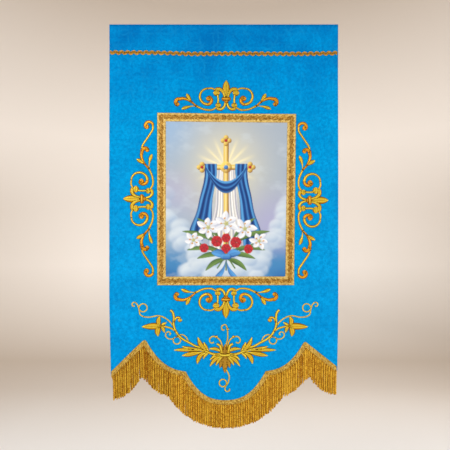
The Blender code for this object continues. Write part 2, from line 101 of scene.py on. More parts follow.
# Places along the lower edge where the fringe below is a little shorter
NOTCHES = (-240.0, 246.0)
NOTCH_LIFT = 13.0
NOTCH_SPREAD = 22.0

# Soft folds: a line from one end to the other, how wide and how far forward.
FOLDS = (
    # x0, z0, x1, z1, spread, forward
    (-190.0, 0.0, -60.0, -150.0, 30.0, -3.2),
    (-120.0, 0.0, -10.0, -120.0, 24.0, 2.0),
    (190.0, -20.0, 40.0, -170.0, 30.0, -3.0),
    (90.0, 0.0, 10.0, -90.0, 24.0, 1.8),
    (-300.0, -60.0, -240.0, -230.0, 45.0, -3.5),
    (290.0, -50.0, 330.0, -150.0, 40.0, -3.2),
    (-150.0, -150.0, -230.0, -330.0, 50.0, 2.6),
    (150.0, -160.0, 250.0, -330.0, 55.0, 2.6),
    (-300.0, -420.0, -280.0, -900.0, 60.0, 3.2),
    (290.0, -430.0, 300.0, -900.0, 65.0, 4.0),
    (-60.0, -860.0, 70.0, -870.0, 60.0, 2.2),
    (-90.0, -1060.0, 90.0, -1065.0, 55.0, -1.8),
)

# Small puckers where a hem draws the cloth up.
PUCKERS = (
    # edge x, from z, to z, pitch, forward
    (-342.5, -255.0, -505.0, 40.0, 1.5),
    (-342.5, -620.0, -800.0, 46.0, 0.6),
    (342.5, -790.0, -930.0, 27.0, 1.0),
    (342.5, -420.0, -560.0, 44.0, 0.6),
)

# Outer corners of the braid round the picture.
FRAME_CORNERS = (
    # x, z
    (-199.5, -782.0),
    (210.5, -781.5),
    (216.5, -269.0),
    (-199.5, -265.0),
)
FRAME_WIDTH = 26.0
PANEL_MARGIN = 3.0

# Where each embroidered motif stands, which way its top points and how much painted light it gets: motifs
# that get less light are painted darker, the upper one most.
MOTIFS = (
    # node, motif, x, z, points, brightness
    ("scroll_top", "scroll", 7.4, -257.4, "up", 0.82),
    ("scroll_bottom", "scroll", 6.2, -791.0, "down", 1.0),
    ("scroll_left", "long_scroll", -211.5, -523.0, "left", 0.93),
    ("scroll_right", "long_scroll", 223.5, -527.5, "right", 0.97),
    ("lower_spray", "spray", 3.4, -1051.5, "up", 1.0),
)


# Shape of the hanging cloth


def smooth(t):
    """A soft step from 0 to 1."""
    t = np.clip(t, 0.0, 1.0)
    return t * t * (3 - 2 * t)


def hermite(t):
    """Weights of a span's start, the slope there, its end and the slope there."""
    return 2 * t**3 - 3 * t**2 + 1, t**3 - 2 * t**2 + t, 3 * t**2 - 2 * t**3, t**3 - t**2


def directions(path):
    """The way ahead at each point of a path, of length 1."""
    ahead = np.gradient(path, axis=0)
    return ahead / np.maximum(np.linalg.norm(ahead, axis=1), 1e-6)[:, None]


def bulge(t, belly):
    """A swelling from 0 to 1 and back that is widest at this place."""
    return np.sin(np.pi * t ** (math.log(0.5) / math.log(belly)))


def hang(x, z):
    """How far back the middle of the solid cloth hangs, for arrays of places."""
    y = np.zeros(np.broadcast(x, z).shape)
    for x0, z0, x1, z1, spread, forward in FOLDS:
        dx, dz = x1 - x0, z1 - z0
        t = np.clip(((x - x0) * dx + (z - z0) * dz) / (dx * dx + dz * dz), 0.0, 1.0)
        away = np.hypot(x - x0 - t * dx, z - z0 - t * dz)
        y = y - forward * np.exp(-0.5 * (away / spread) ** 2)
    return y * smooth(-z / CALM_TOP)


def drape(x, z):
    """The hanging shape with the puckers at its hems."""
    y = hang(x, z)
    for edge, start, end, pitch, forward in PUCKERS:
        inward = np.abs(x - edge)
        along = smooth((start - z) / pitch) * smooth((z - end) / pitch)
        wave = np.sin(2 * np.pi * (z - start + 6 * np.sin(z / 31.0)) / pitch)
        y = y - forward * along * wave * np.exp(-inward / PUCKER_REACH)
    y = y - 0.25 * np.sin(x / 23.0 + 1.3 * np.sin(z / 61.0)) * np.sin(z / 37.0 + 0.8)
    return y


def lower_edge(x):
    """Height of the line where the fringe's heading begins."""
    x = np.clip(np.asarray(x, float), -HALF_WIDTH, HALF_WIDTH)
    z = np.zeros(x.shape)
    for left, right in zip(LOWER_EDGE, LOWER_EDGE[1:]):
        span = right[0] - left[0]
        t = (x - left[0]) / span
        start, leave, end, arrive = hermite(t)
        piece = start * left[1] + end * right[1] + span * (leave * left[3] + arrive * right[2])
        z = np.where((t >= 0) & (t <= 1), piece, z)
    return z


def below_edge(x, distance):
    """Height of the line that runs this far outside the lower edge."""
    x = np.asarray(x, float)
    lowest = np.zeros(x.shape)
    reach = int(distance)
    for step in range(-reach, reach + 1):
        place = np.clip(x + step, -HALF_WIDTH, HALF_WIDTH)
        across = np.minimum(np.abs(place - x), distance)
        lowest = np.minimum(lowest, lower_edge(place) - np.sqrt(distance**2 - across**2))
    return lowest


def strand_tips(x):
    """Height of the fringe's lower line, which rises more sharply under the two notches."""
    x = np.asarray(x, float)
    lift = sum(NOTCH_LIFT * np.exp(-(((x - notch) / NOTCH_SPREAD) ** 2)) for notch in NOTCHES)
    return below_edge(x, FRINGE_DEPTH) + lift


def side_drift(x, z):
    """How far the lower part draws in towards the middle at the left and right edges."""
    low = smooth((DRAW_IN_FROM - z) / DRAW_IN_RUN)
    return -x / HALF_WIDTH * low * np.where(x < 0, DRAW_IN_LEFT, DRAW_IN_RIGHT)


# Meshes


def new_object(name, points, faces, material, tone=None, smooth_shading=True):
    """An object from millimetre points; tone gives each point its own colour."""
    mesh = bpy.data.meshes.new(name)
    mesh.from_pydata((np.asarray(points) * MM).tolist(), [], faces)
    mesh.materials.append(material)
    mesh.polygons.foreach_set("use_smooth", [smooth_shading] * len(mesh.polygons))
    if tone is not None:
        colours = np.ones((len(points), 4))
        colours[:, :3] = tone
        layer = mesh.color_attributes.new("tone", "FLOAT_COLOR", "POINT")
        layer.data.foreach_set("color", colours.ravel())
    mesh.update()
    obj = bpy.data.objects.new(name, mesh)
    bpy.context.scene.collection.objects.link(obj)
    return obj


def swept_faces(rings, around, start=0, closed=False):
    """Faces of a tube of rings, each of so many points, with end caps unless it closes on itself."""
    i = np.arange(rings if closed else rings - 1)[:, None]
    k = np.arange(around)[None, :]
    after = (i + 1) % rings
    beside = (k + 1) % around
    quads = np.stack(
        [i * around + k, after * around + k, after * around + beside, i * around + beside],
        axis=-1,
    )
    faces = (quads.reshape(-1, 4) + start).tolist()
    if not closed:
        faces.append([start + j for j in range(around)])
        faces.append([start + (rings - 1) * around + j for j in reversed(range(around))])
    return faces


class Bundle:
    """Tubes gathered into one mesh."""

    def __init__(self):
        self.points, self.tones, self.faces, self.count = [], [], [], 0

    def add(self, rings, tone, closed=False):
        """rings holds places by ring and by point round it; tone is of the same shape or one colour."""
        rings = np.asarray(rings, float)
        number, around = rings.shape[:2]
        self.faces += swept_faces(number, around, self.count, closed)
        self.points.append(rings.reshape(-1, 3))
        self.tones.append(np.broadcast_to(tone, rings.shape).reshape(-1, 3))
        self.count += number * around

    def make(self, name, material):
        points, tones = np.concatenate(self.points), np.concatenate(self.tones)
        return new_object(name, points, self.faces, material, tones)


def runs(points):
    """Length along a path at each of its points."""
    steps = np.linalg.norm(np.diff(points, axis=0), axis=1)
    return np.concatenate([[0.0], np.cumsum(steps)])


def evenly(points, spacing, extra=()):
    """The path at even steps, with any further columns carried along."""
    along = runs(points)
    count = max(3, int(round(along[-1] / spacing)) + 1)
    places = np.linspace(0, along[-1], count)
    found = [np.interp(places, along, column) for column in points.T]
    found += [np.interp(places, along, column) for column in extra]
    return np.stack(found, axis=1), places


def twisted_yarn(path, radius, pitch, depth, around=8, start=0.0):
    """Rings of a two-ply yarn along a path in space, its plies turning once in each pitch."""
    ahead = directions(path)
    side = np.cross(ahead, np.array([0.0, 1.0, 0.0]))
    side /= np.linalg.norm(side, axis=1)[:, None]
    up = np.cross(side, ahead)
    turn = 2 * np.pi * runs(path) / pitch + start
    angle = 2 * np.pi * np.arange(around) / around
    lobe = 1 - depth / 2 + depth / 2 * np.cos(2 * (angle[None, :] - turn[:, None]))
    size = radius[:, None] * lobe
    flat = np.cos(angle)[None, :, None] * side[:, None, :]
    tall = np.sin(angle)[None, :, None] * up[:, None, :]
    return path[:, None, :] + size[:, :, None] * (flat + tall), lobe


def cloudy(p, q, size, seed):
    """Soft noise from 0 to 1 whose largest patches have this size."""
    chance = np.random.default_rng(seed)
    total, weight = np.zeros(p.shape), 0.0
    for octave in range(4):
        cell = size / 2**octave
        table = chance.random((64, 64))
        a, b = p / cell + 200.0, q / cell + 200.0
        i, j = np.floor(a).astype(int), np.floor(b).astype(int)
        s, t = smooth(a - i), smooth(b - j)
        low = table[i % 64, j % 64] * (1 - s) + table[(i + 1) % 64, j % 64] * s
        high = table[i % 64, (j + 1) % 64] * (1 - s) + table[(i + 1) % 64, (j + 1) % 64] * s
        share = 0.55**octave
        total += share * (low * (1 - t) + high * t)
        weight += share
    return total / weight


# Colours, as linear light


def light(red, green, blue):
    """A colour given as it looks on a screen, from 0 to 255, in linear light."""
    shares = [part / 255 for part in (red, green, blue)]
    return np.array([((s + 0.055) / 1.055) ** 2.4 if s > 0.04045 else s / 12.92 for s in shares])


# Satin stitch: painted highlights along the middle of the strokes, painted shade at their edges and grooves
HIGHLIGHT_GOLD = light(255, 236, 84)
FLANK_GOLD = light(212, 158, 8)
HIGHLIGHT_ORANGE = light(255, 194, 50)
FLANK_ORANGE = light(230, 138, 8)
OLD_GOLD = light(208, 158, 54)
SHADE_GOLD = light(84, 58, 0)
PALE_GOLD = light(241, 213, 133)
BROWN_GOLD = light(150, 98, 26)
FRINGE_GOLD = light(253, 206, 68)
FRINGE_DEEP = light(176, 102, 0)
HEADING_GOLD = light(233, 199, 104)
HEADING_DEEP = light(148, 104, 16)
BRAID_LIGHT = light(238, 184, 74)
BRAID_DARK = light(128, 80, 10)
OVAL_LIGHT = light(208, 162, 78)
OVAL_DARK = light(112, 70, 6)
EDGE_DARK = light(178, 134, 44)
PATCH_BLUE = light(0, 98, 170)
TOP_SHADE_BLUE = light(0, 100, 174)
SPECKLE_BLUE = light(0, 90, 160)
FIGURE_BLUE = light(40, 190, 244)


def blend(a, b, share):
    """Colours between two, for one share or an array of them."""
    share = np.asarray(share, float)[..., None]
    return a * (1 - share) + b * share


# Materials


class Nodes:
    """A short way to write a material's nodes."""

    def __init__(self, name, roughness, specular=0.4, metallic=0.0, tint=(1.0, 1.0, 1.0)):
        self.material = bpy.data.materials.new(name)
        self.material.use_nodes = True
        self.tree = self.material.node_tree
        self.shader = self.tree.nodes["Principled BSDF"]
        self.shader.inputs["Roughness"].default_value = roughness
        self.shader.inputs["Specular IOR Level"].default_value = specular
        self.shader.inputs["Specular Tint"].default_value = (*tint, 1.0)
        self.shader.inputs["Metallic"].default_value = metallic

    def node(self, kind, **settings):
        made = self.tree.nodes.new("ShaderNode" + kind)
        for key, value in settings.items():
            setattr(made, key, value)
        return made

    def wire(self, source, target):
        self.tree.links.new(source, target)

    def value(self, target, given):
        if isinstance(given, (int, float)):
            target.default_value = given
        elif isinstance(given, (tuple, list, np.ndarray)):
            target.default_value = (*map(float, given), 1.0)[: len(target.default_value)]
        else:
            self.wire(given, target)

    def math(self, operation, a, b=0.0, c=0.0):
        made = self.node("Math", operation=operation)
        for socket, given in zip(made.inputs, (a, b, c)):
            self.value(socket, given)
        return made.outputs[0]

    def mix(self, share, a, b, kind="MIX"):
        made = self.node("MixRGB", blend_type=kind)
        for socket, given in zip(made.inputs, (share, a, b)):
            self.value(socket, given)
        return made.outputs[0]

    def places(self):
        return self.node("TexCoord").outputs["Object"]

    def parts(self, vector):
        made = self.node("SeparateXYZ")
        self.wire(vector, made.inputs[0])
        return made.outputs

    def noise(self, scale, detail=2.0, vector=None, roughness=0.5):
        made = self.node("TexNoise")
        made.inputs["Scale"].default_value = scale
        made.inputs["Detail"].default_value = detail
        made.inputs["Roughness"].default_value = roughness
        self.wire(vector or self.places(), made.inputs["Vector"])
        return made.outputs["Fac"]

    def limit(self, value):
        """The value held between 0 and 1."""
        return self.math("MINIMUM", self.math("MAXIMUM", value, 0.0), 1.0)

    def patches(self, scale, detail, roughness, gain, shift):
        """Noise spread so that parts of it reach 0 and 1."""
        noise = self.noise(scale, detail, roughness=roughness)
        return self.limit(self.math("MULTIPLY_ADD", noise, gain, shift))

    def stripes(self, value, pitch):
        """A wave from 0 to 1 across stripes of this pitch in metres."""
        turned = self.math("MULTIPLY", value, 2 * math.pi / pitch)
        return self.math("MULTIPLY_ADD", self.math("SINE", turned), 0.5, 0.5)

    def ramp(self, value, stops):
        """A colour that changes along a value, by stops of place and colour."""
        made = self.node("ValToRGB")
        elements = made.color_ramp.elements
        while len(elements) < len(stops):
            elements.new(0.5)
        for element, (place, colour) in zip(elements, stops):
            element.position = place
            element.color = (*colour, 1.0)
        self.value(made.inputs[0], value)
        return made.outputs[0]

    def bump(self, height, strength, distance):
        made = self.node("Bump")
        made.inputs["Strength"].default_value = strength
        made.inputs["Distance"].default_value = distance
        self.wire(height, made.inputs["Height"])
        self.wire(made.outputs[0], self.shader.inputs["Normal"])

    def colour(self, given):
        self.value(self.shader.inputs["Base Color"], given)

    def tone(self):
        return self.node("VertexColor", layer_name="tone").outputs["Color"]


RING_PITCH = 0.043
RING_RADIUS = 0.030
RING_LINE = 0.0032


def damask_mask(n, x, z):
    """Near 1 on the lines of interlaced rings and on the small rosettes between them."""
    fx = n.math("FRACT", n.math("DIVIDE", x, RING_PITCH))
    fz = n.math("FRACT", n.math("DIVIDE", z, RING_PITCH))
    lines = None
    for corner_x in (0.0, 1.0):
        for corner_z in (0.0, 1.0):
            dx = n.math("SUBTRACT", fx, corner_x)
            dz = n.math("SUBTRACT", fz, corner_z)
            square = n.math("ADD", n.math("MULTIPLY", dx, dx), n.math("MULTIPLY", dz, dz))
            away = n.math("SUBTRACT", n.math("SQRT", square), RING_RADIUS / RING_PITCH)
            away = n.math("DIVIDE", n.math("ABSOLUTE", away), RING_LINE / RING_PITCH)
            line = n.math("MAXIMUM", n.math("SUBTRACT", 1.4, away), 0.0)
            lines = line if lines is None else n.math("MAXIMUM", lines, line)
    cx = n.math("SUBTRACT", fx, 0.5)
    cz = n.math("SUBTRACT", fz, 0.5)
    middle = n.math("SQRT", n.math("ADD", n.math("MULTIPLY", cx, cx), n.math("MULTIPLY", cz, cz)))
    turned = n.math("MULTIPLY", n.math("ARCTAN2", cz, cx), 4.0)
    petals = n.math("MULTIPLY_ADD", n.math("COSINE", turned), 0.035, 0.13)
    rosette = n.math("MULTIPLY", n.math("SUBTRACT", petals, middle), 30.0)
    return n.math("MINIMUM", n.math("MAXIMUM", lines, rosette), 1.0)


# Blue of the cloth at heights from the top edge down, as a share of its length, with painted light and
# shade: a painted shadow along the top edge, darker above and lightest in the middle where the light falls
SHADED_CLOTH_BLUES = (
    # place, colour
    (0.000, light(0, 108, 172)),
    (0.008, light(0, 145, 212)),
    (0.120, light(0, 151, 219)),
    (0.270, light(2, 160, 224)),
    (0.620, light(8, 164, 229)),
    (0.920, light(4, 158, 229)),
)


# Unevenness of the damask, and painted shade of wrinkles near its top
DAMASK_PATCHES = (
    # scale, detail, roughness, gain, shift: where the figure shows, then patches (random mottling, stronger
    # near the top as painted wrinkle shade), clouds (painted wrinkle shade near the top), speckles
    (26.0, 4.0, 0.7, 5.0, -2.2),
    (13.0, 4.0, 0.6, 4.0, -1.5),
    (9.0, 3.0, 0.5, 5.0, -2.2),
    (120.0, 4.0, 0.8, 4.5, -1.75),
)


def damask_material():
    n = Nodes("blue_damask", roughness=0.55, specular=0.12, tint=(0.05, 0.55, 1.0))
    x, _, z = n.parts(n.places())
    warp = n.math("MULTIPLY_ADD", n.noise(22.0, 3.0), 0.02, -0.01)
    mask = damask_mask(n, n.math("ADD", x, warp), n.math("SUBTRACT", z, warp))
    worn, patch, cloud, speckle = [n.patches(*row) for row in DAMASK_PATCHES]
    figure = n.math("MULTIPLY", mask, worn)
    # Painted light and shade down the cloth
    base = n.ramp(n.math("DIVIDE", z, -CLOTH_DROP), SHADED_CLOTH_BLUES)
    # Painted shade of wrinkles: dark patches and clouds that grow stronger towards the top edge
    top_shade_reach = n.math("MAXIMUM", n.math("MULTIPLY_ADD", z, 4.0, 1.0), 0.0)
    share = n.math("MULTIPLY_ADD", top_shade_reach, 0.4, 0.24)
    base = n.mix(n.math("MULTIPLY", patch, share), base, PATCH_BLUE)
    base = n.mix(n.math("MULTIPLY", n.math("MULTIPLY", cloud, top_shade_reach), 0.7), base, TOP_SHADE_BLUE)
    base = n.mix(n.math("MULTIPLY", speckle, 0.46), base, SPECKLE_BLUE)
    n.colour(n.mix(n.math("MULTIPLY", figure, 0.11), base, FIGURE_BLUE))
    n.value(n.shader.inputs["Roughness"], n.math("MULTIPLY_ADD", mask, -0.14, 0.58))
    threads = n.math("ADD", n.stripes(x, 0.0011), n.stripes(z, 0.0013))
    height = n.math("MULTIPLY_ADD", threads, 0.2, n.math("MULTIPLY", figure, 0.7))
    n.bump(n.math("ADD", height, n.math("MULTIPLY", speckle, 0.5)), 0.45, 0.0003)
    return n.material


def thread_material(name, roughness, metallic, pitch, depth):
    """Shiny yarn: the point's own colour, finely streaked, with fine threads in relief."""
    n = Nodes(name, roughness=roughness, specular=0.4, metallic=metallic, tint=(1.0, 0.78, 0.3))
    streak = n.noise(420.0, 2.0)
    patch = n.noise(60.0, 2.0)
    tone = n.mix(n.math("MULTIPLY", streak, 0.45), n.tone(), light(190, 160, 120), "MULTIPLY")
    n.colour(n.mix(n.math("MULTIPLY", patch, 0.3), tone, light(220, 205, 180), "MULTIPLY"))
    n.bump(n.math("ADD", streak, n.noise(1.0 / pitch, 1.0)), depth, 0.0003)
    return n.material


def print_material():
    n = Nodes("picture_print", roughness=0.62, specular=0.3)
    x, _, z = n.parts(n.places())
    weave = n.math("ADD", n.stripes(x, 0.0012), n.stripes(z, 0.0012))
    shade = n.math("MULTIPLY", n.noise(700.0, 1.0), 0.12)
    n.colour(n.mix(shade, n.tone(), (0.7, 0.7, 0.72), "MULTIPLY"))
    n.bump(weave, 0.2, 0.0002)
    return n.material


# Camera, light and stage


def build_camera():
    camera = bpy.data.cameras.new("camera")
    camera.sensor_width = SENSOR
    camera.lens = SENSOR * CAMERA_DISTANCE / (PHOTO_SIDE * MM_PER_PIXEL * MM)
    camera.clip_start, camera.clip_end = 0.05, 60.0
    obj = bpy.data.objects.new("camera", camera)
    obj.location = (PHOTO_CENTRE_X * MM, -CAMERA_DISTANCE, PHOTO_CENTRE_Z * MM)
    obj.rotation_euler = (math.pi / 2, 0.0, 0.0)
    bpy.context.scene.collection.objects.link(obj)
    bpy.context.scene.camera = obj


# Stage, in metres
FLOOR_Z = -1.6
FLOOR_START = -6.0
WALL_Y = 3.8
WALL_TOP = 5.0
STAGE_HALF = 7.0
SWEEP_RADIUS = 1.2
SWEEP_STEPS = 16


# Paper of the stage by how far along floor and wall, in metres from the near floor, with painted light and
# shade: pale where the light falls, painted shade where floor and wall meet and towards the top of the wall
STAGE_NEAR, STAGE_FAR = -0.4, 5.4
FLOOR_PAPER = light(225, 220, 215)
SHADE_PAPER = light(190, 175, 160)
WALL_PAPER = light(250, 240, 230)
PAINTED_LIGHT_PAPER = (
    # along, colour
    (-0.3, FLOOR_PAPER),
    (1.6, SHADE_PAPER),
    (2.8, WALL_PAPER),
    (3.8, WALL_PAPER),
    (4.8, SHADE_PAPER),
)


def stage_material():
    """Paper with painted light and shade: pale on the near floor and the middle of the wall, painted shade
    where they meet, towards the top of the wall and at the lower sides.
    """
    n = Nodes("stage_paper", roughness=0.9, specular=0.1)
    x, y, z = n.parts(n.places())
    arch = n.math("MULTIPLY", n.math("MULTIPLY", x, x), n.math("MULTIPLY_ADD", z, -0.06, -0.04))
    along = n.math("ADD", n.math("ADD", y, z), n.math("MINIMUM", arch, 0.0))
    share = n.math("DIVIDE", n.math("SUBTRACT", along, STAGE_NEAR), STAGE_FAR - STAGE_NEAR)
    stops = [((place - STAGE_NEAR) / (STAGE_FAR - STAGE_NEAR), colour) for place, colour in PAINTED_LIGHT_PAPER]
    paper = n.ramp(share, stops)
    # Painted shade towards the lower sides, away from the middle
    aside = n.math("MAXIMUM", n.math("SUBTRACT", n.math("ABSOLUTE", x), 1.0), 0.0)
    low = n.limit(n.math("MULTIPLY", z, -2.0))
    corner = n.math("MULTIPLY", n.math("MULTIPLY", aside, low), 0.35)
    paper = n.mix(corner, paper, light(190, 172, 152))
    grain = n.math("MULTIPLY", n.noise(300.0, 2.0), 0.04)
    n.colour(n.mix(grain, paper, light(150, 140, 130)))
    return n.material


def build_stage():
    """Floor and wall in one sweep, with a round fillet between them."""
    profile = [(FLOOR_START, FLOOR_Z), (WALL_Y - SWEEP_RADIUS, FLOOR_Z)]
    for k in range(1, SWEEP_STEPS + 1):
        angle = math.pi / 2 * k / SWEEP_STEPS
        across = WALL_Y - SWEEP_RADIUS + SWEEP_RADIUS * math.sin(angle)
        profile.append((across, FLOOR_Z + SWEEP_RADIUS * (1 - math.cos(angle))))
    profile.append((WALL_Y, WALL_TOP))
    points = [(side * STAGE_HALF / MM, y / MM, z / MM) for y, z in profile for side in (-1, 1)]
    faces = [[2 * k, 2 * k + 1, 2 * k + 3, 2 * k + 2] for k in range(len(profile) - 1)]
    new_object("stage", points, faces, stage_material())


WORLD_COLOUR = (1.0, 0.97, 0.93, 1.0)
WORLD_STRENGTH = 0.39
BANNER_AIM = (0.0, 0.0, -0.6)
WALL_AIM_Z = -0.3
LAMPS = (
    # name, x, y, z, size, watts
    ("key", -1.3, -2.7, 0.3, 1.4, 49.0),
    ("fill", 2.2, -2.6, -0.5, 2.2, 43.0),
    ("backdrop_left", -1.9, 0.9, 3.2, 2.4, 66.0),
    ("backdrop_right", 1.9, 0.9, 3.2, 2.4, 66.0),
    ("behind", 1.0, 2.6, 0.6, 2.0, 30.0),
)


def build_lights():
    world = bpy.data.worlds.new("studio")
    world.use_nodes = True
    background = world.node_tree.nodes["Background"]
    background.inputs["Color"].default_value = WORLD_COLOUR
    background.inputs["Strength"].default_value = WORLD_STRENGTH
    bpy.context.scene.world = world
    for name, x, y, z, size, watts in LAMPS:
        lamp = bpy.data.lights.new(name, "AREA")
        lamp.size = size
        lamp.energy = watts
        obj = bpy.data.objects.new(name, lamp)
        obj.location = (x, y, z)
        target = Vector((x, WALL_Y, WALL_AIM_Z) if name.startswith("backdrop") else BANNER_AIM)
        obj.rotation_euler = (target - obj.location).to_track_quat("-Z", "Y").to_euler()
        bpy.context.scene.collection.objects.link(obj)
    bpy.context.scene.view_settings.view_transform = "Standard"


# Cloth


def cloth_grid():
    """Columns and heights of the cloth's points, the sides turned back as hems."""
    inner = np.linspace(-HALF_WIDTH, HALF_WIDTH, int(2 * HALF_WIDTH / CLOTH_STEP) + 1)
    rows = int(-LAST_LEVEL / CLOTH_STEP)
    bottom = below_edge(inner, HEADING_WIDTH) + EDGE_COVER
    upper = np.linspace(0.0, LAST_LEVEL, rows + 1)
    shares = np.linspace(0.0, 1.0, LOWER_ROWS + 1)[1:]
    lower = LAST_LEVEL + shares[None, :] * (bottom[:, None] - LAST_LEVEL)
    z = np.concatenate([np.broadcast_to(upper, (len(inner), rows + 1)), lower], axis=1)
    x = np.broadcast_to(inner[:, None], z.shape)
    return x, z


def build_cloth(material):
    x, z = cloth_grid()
    y = drape(x, z) - CLOTH_MIDDLE
    x = x + side_drift(x, z)
    front = np.stack([x, y, z], axis=-1)
    hems = []
    for edge, inward in ((0, 1.0), (-1, -1.0)):
        columns = []
        for step, back in HEM_COLUMNS:
            depth = drape(x[edge] + inward * abs(step), z[edge]) - CLOTH_MIDDLE + back
            columns.append(np.stack([x[edge] + inward * step, depth, z[edge]], axis=-1))
        hems.append(columns)
    strips = np.stack([*hems[0][::-1], *front, *hems[1]], axis=0)
    columns, rows = strips.shape[:2]
    i, j = np.arange(columns - 1)[:, None], np.arange(rows - 1)[None, :]
    a = i * rows + j
    faces = np.stack([a, a + 1, a + rows + 1, a + rows], axis=-1).reshape(-1, 4).tolist()
    obj = new_object("banner_sheet", strips.reshape(-1, 3), faces, material)
    thick = obj.modifiers.new("thickness", "SOLIDIFY")
    thick.thickness = CLOTH_THICK * MM
    thick.offset = 0.0
    return obj


# Embroidery: each stroke is a spine of places with half widths, and how orange it is.

STALK_FULLNESS = 1.2
LEAF_ROUND = 0.7
LEAF_ROOT = 0.35
YELLOW, WARM, ORANGE, BROWN = 0.0, 0.3, 1.0, -1.0
STITCH_STEP = 0.8
STITCH_PITCH = 1.6
STITCH_RELIEF = 0.16
STITCH_HIGHEST = 2.3
LOW_STITCH = 0.5
SECTION = np.array([-1.0, -0.9, -0.62, -0.26, 0.0, 0.26, 0.62, 0.9, 1.0])


def leaf(base, tip, width, bow=0.0, belly=0.5, steps=24):
    """A pointed leaf; bow is its sideways bend and belly the place of its widest part."""
    base, tip = np.array(base, float), np.array(tip, float)
    along = tip - base
    t = np.linspace(0.0, 1.0, steps + 1)
    side = bow * np.sin(np.pi * t)
    swell = np.clip(bulge(t, belly), 0, 1) ** LEAF_ROUND
    half = width / 2 * np.maximum(swell, LEAF_ROOT * (1 - t))
    u = base[0] + along[0] * t - along[1] * side
    v = base[1] + along[1] * t + along[0] * side
    return np.stack([u, v, half], axis=1)


def vine(places, widths, steps=12):
    """A stalk drawn smoothly through a few places."""
    p = np.array([places[0], *places, places[-1]], float)
    spans = len(places) - 1
    t = np.linspace(0.0, 1.0, steps + 1)[:, None]
    found = []
    for k in range(spans):
        out, into = (p[k + 2] - p[k]) / 2, (p[k + 3] - p[k + 1]) / 2
        start, leave, end, arrive = hermite(t)
        piece = start * p[k + 1] + leave * out + end * p[k + 2] + arrive * into
        found.append(piece if k == spans - 1 else piece[:-1])
    path = np.concatenate(found)
    half = np.linspace(widths[0], widths[1], len(path)) / 2 * STALK_FULLNESS
    return np.column_stack([path, half])


def curl(centre, radii, degrees, widths):
    """A scroll that winds round a centre from the first radius and angle to the second."""
    steps = max(8, int(abs(degrees[1] - degrees[0]) / 8))
    angle = np.radians(np.linspace(degrees[0], degrees[1], steps + 1))
    radius = np.linspace(radii[0], radii[1], steps + 1)
    half = np.linspace(widths[0], widths[1], steps + 1) / 2 * STALK_FULLNESS
    u = centre[0] + radius * np.cos(angle)
    v = centre[1] + radius * np.sin(angle)
    return np.stack([u, v, half], axis=1)


def knob(centre, radius):
    """A round knob, as a short spine whose widths follow a circle."""
    share = -np.cos(np.linspace(0.0, np.pi, 15))
    half = radius * np.sqrt(np.maximum(1 - share * share, 0.01))
    return np.stack([centre[0] + radius * share, np.full(15, float(centre[1])), half], axis=1)


def scroll_half():
    return [
        # lower stalk with two leaves and an end curl
        (vine([(27, 10), (44, 1), (68, 3), (92, 14)], (5, 5.6)), WARM),
        (leaf((88, 9), (119, 50), 12.5, bow=-0.06, belly=0.78), YELLOW),
        (leaf((88, 13), (134, 3), 11.5, bow=0.06, belly=0.76), YELLOW),
        (vine([(90, 12), (107, 27), (127, 35), (143, 33)], (4.5, 9.5)), ORANGE),
        (curl((143, 23), (10.5, 7), (90, -60), (10, 10)), ORANGE),
        (knob((147, 18), 7), ORANGE),
        # large scroll
        (vine([(31, 60), (44, 66), (57, 65)], (4.5, 4.8)), WARM),
        (curl((55, 41), (24.5, 23.5), (88, -90), (4.8, 8)), WARM),
        (curl((55, 31), (13.5, 8.5), (-90, -255), (8, 9.5)), ORANGE),
        (knob((52, 35), 8.4), ORANGE),
        # side petal of the lily, its curl and the link to the lower one
        (vine([(26, 48), (24, 34), (25, 18)], (5.4, 5.6)), YELLOW),
        (vine([(3, 33), (8, 52), (19, 63), (32, 61)], (6.5, 12)), YELLOW),
        (knob((29, 52), 10), YELLOW),
        # lower petal and its curl
        (vine([(2, 25), (6, 11), (16, 3), (28, 6)], (6, 9.5)), YELLOW),
        (knob((24, 15), 8.6), YELLOW),
        # half of the heart that holds the lily
        (knob((7, 34), 7), ORANGE),
    ]


def scroll_lily():
    return [
        (leaf((0, 28), (0, 90), 23, belly=0.6), YELLOW),
        (leaf((0, 44), (0, 18), 16), ORANGE),
        (leaf((-14, 34), (14, 34), 10), ORANGE),
    ]


def scroll_end():
    return [
        (vine([(132, 34), (158, 32), (184, 16), (206, 2), (222, 1)], (5, 6)), WARM),
        (curl((219, 14), (14, 8), (-80, 130), (7, 10)), ORANGE),
        (knob((216, 19), 7.5), ORANGE),
    ]


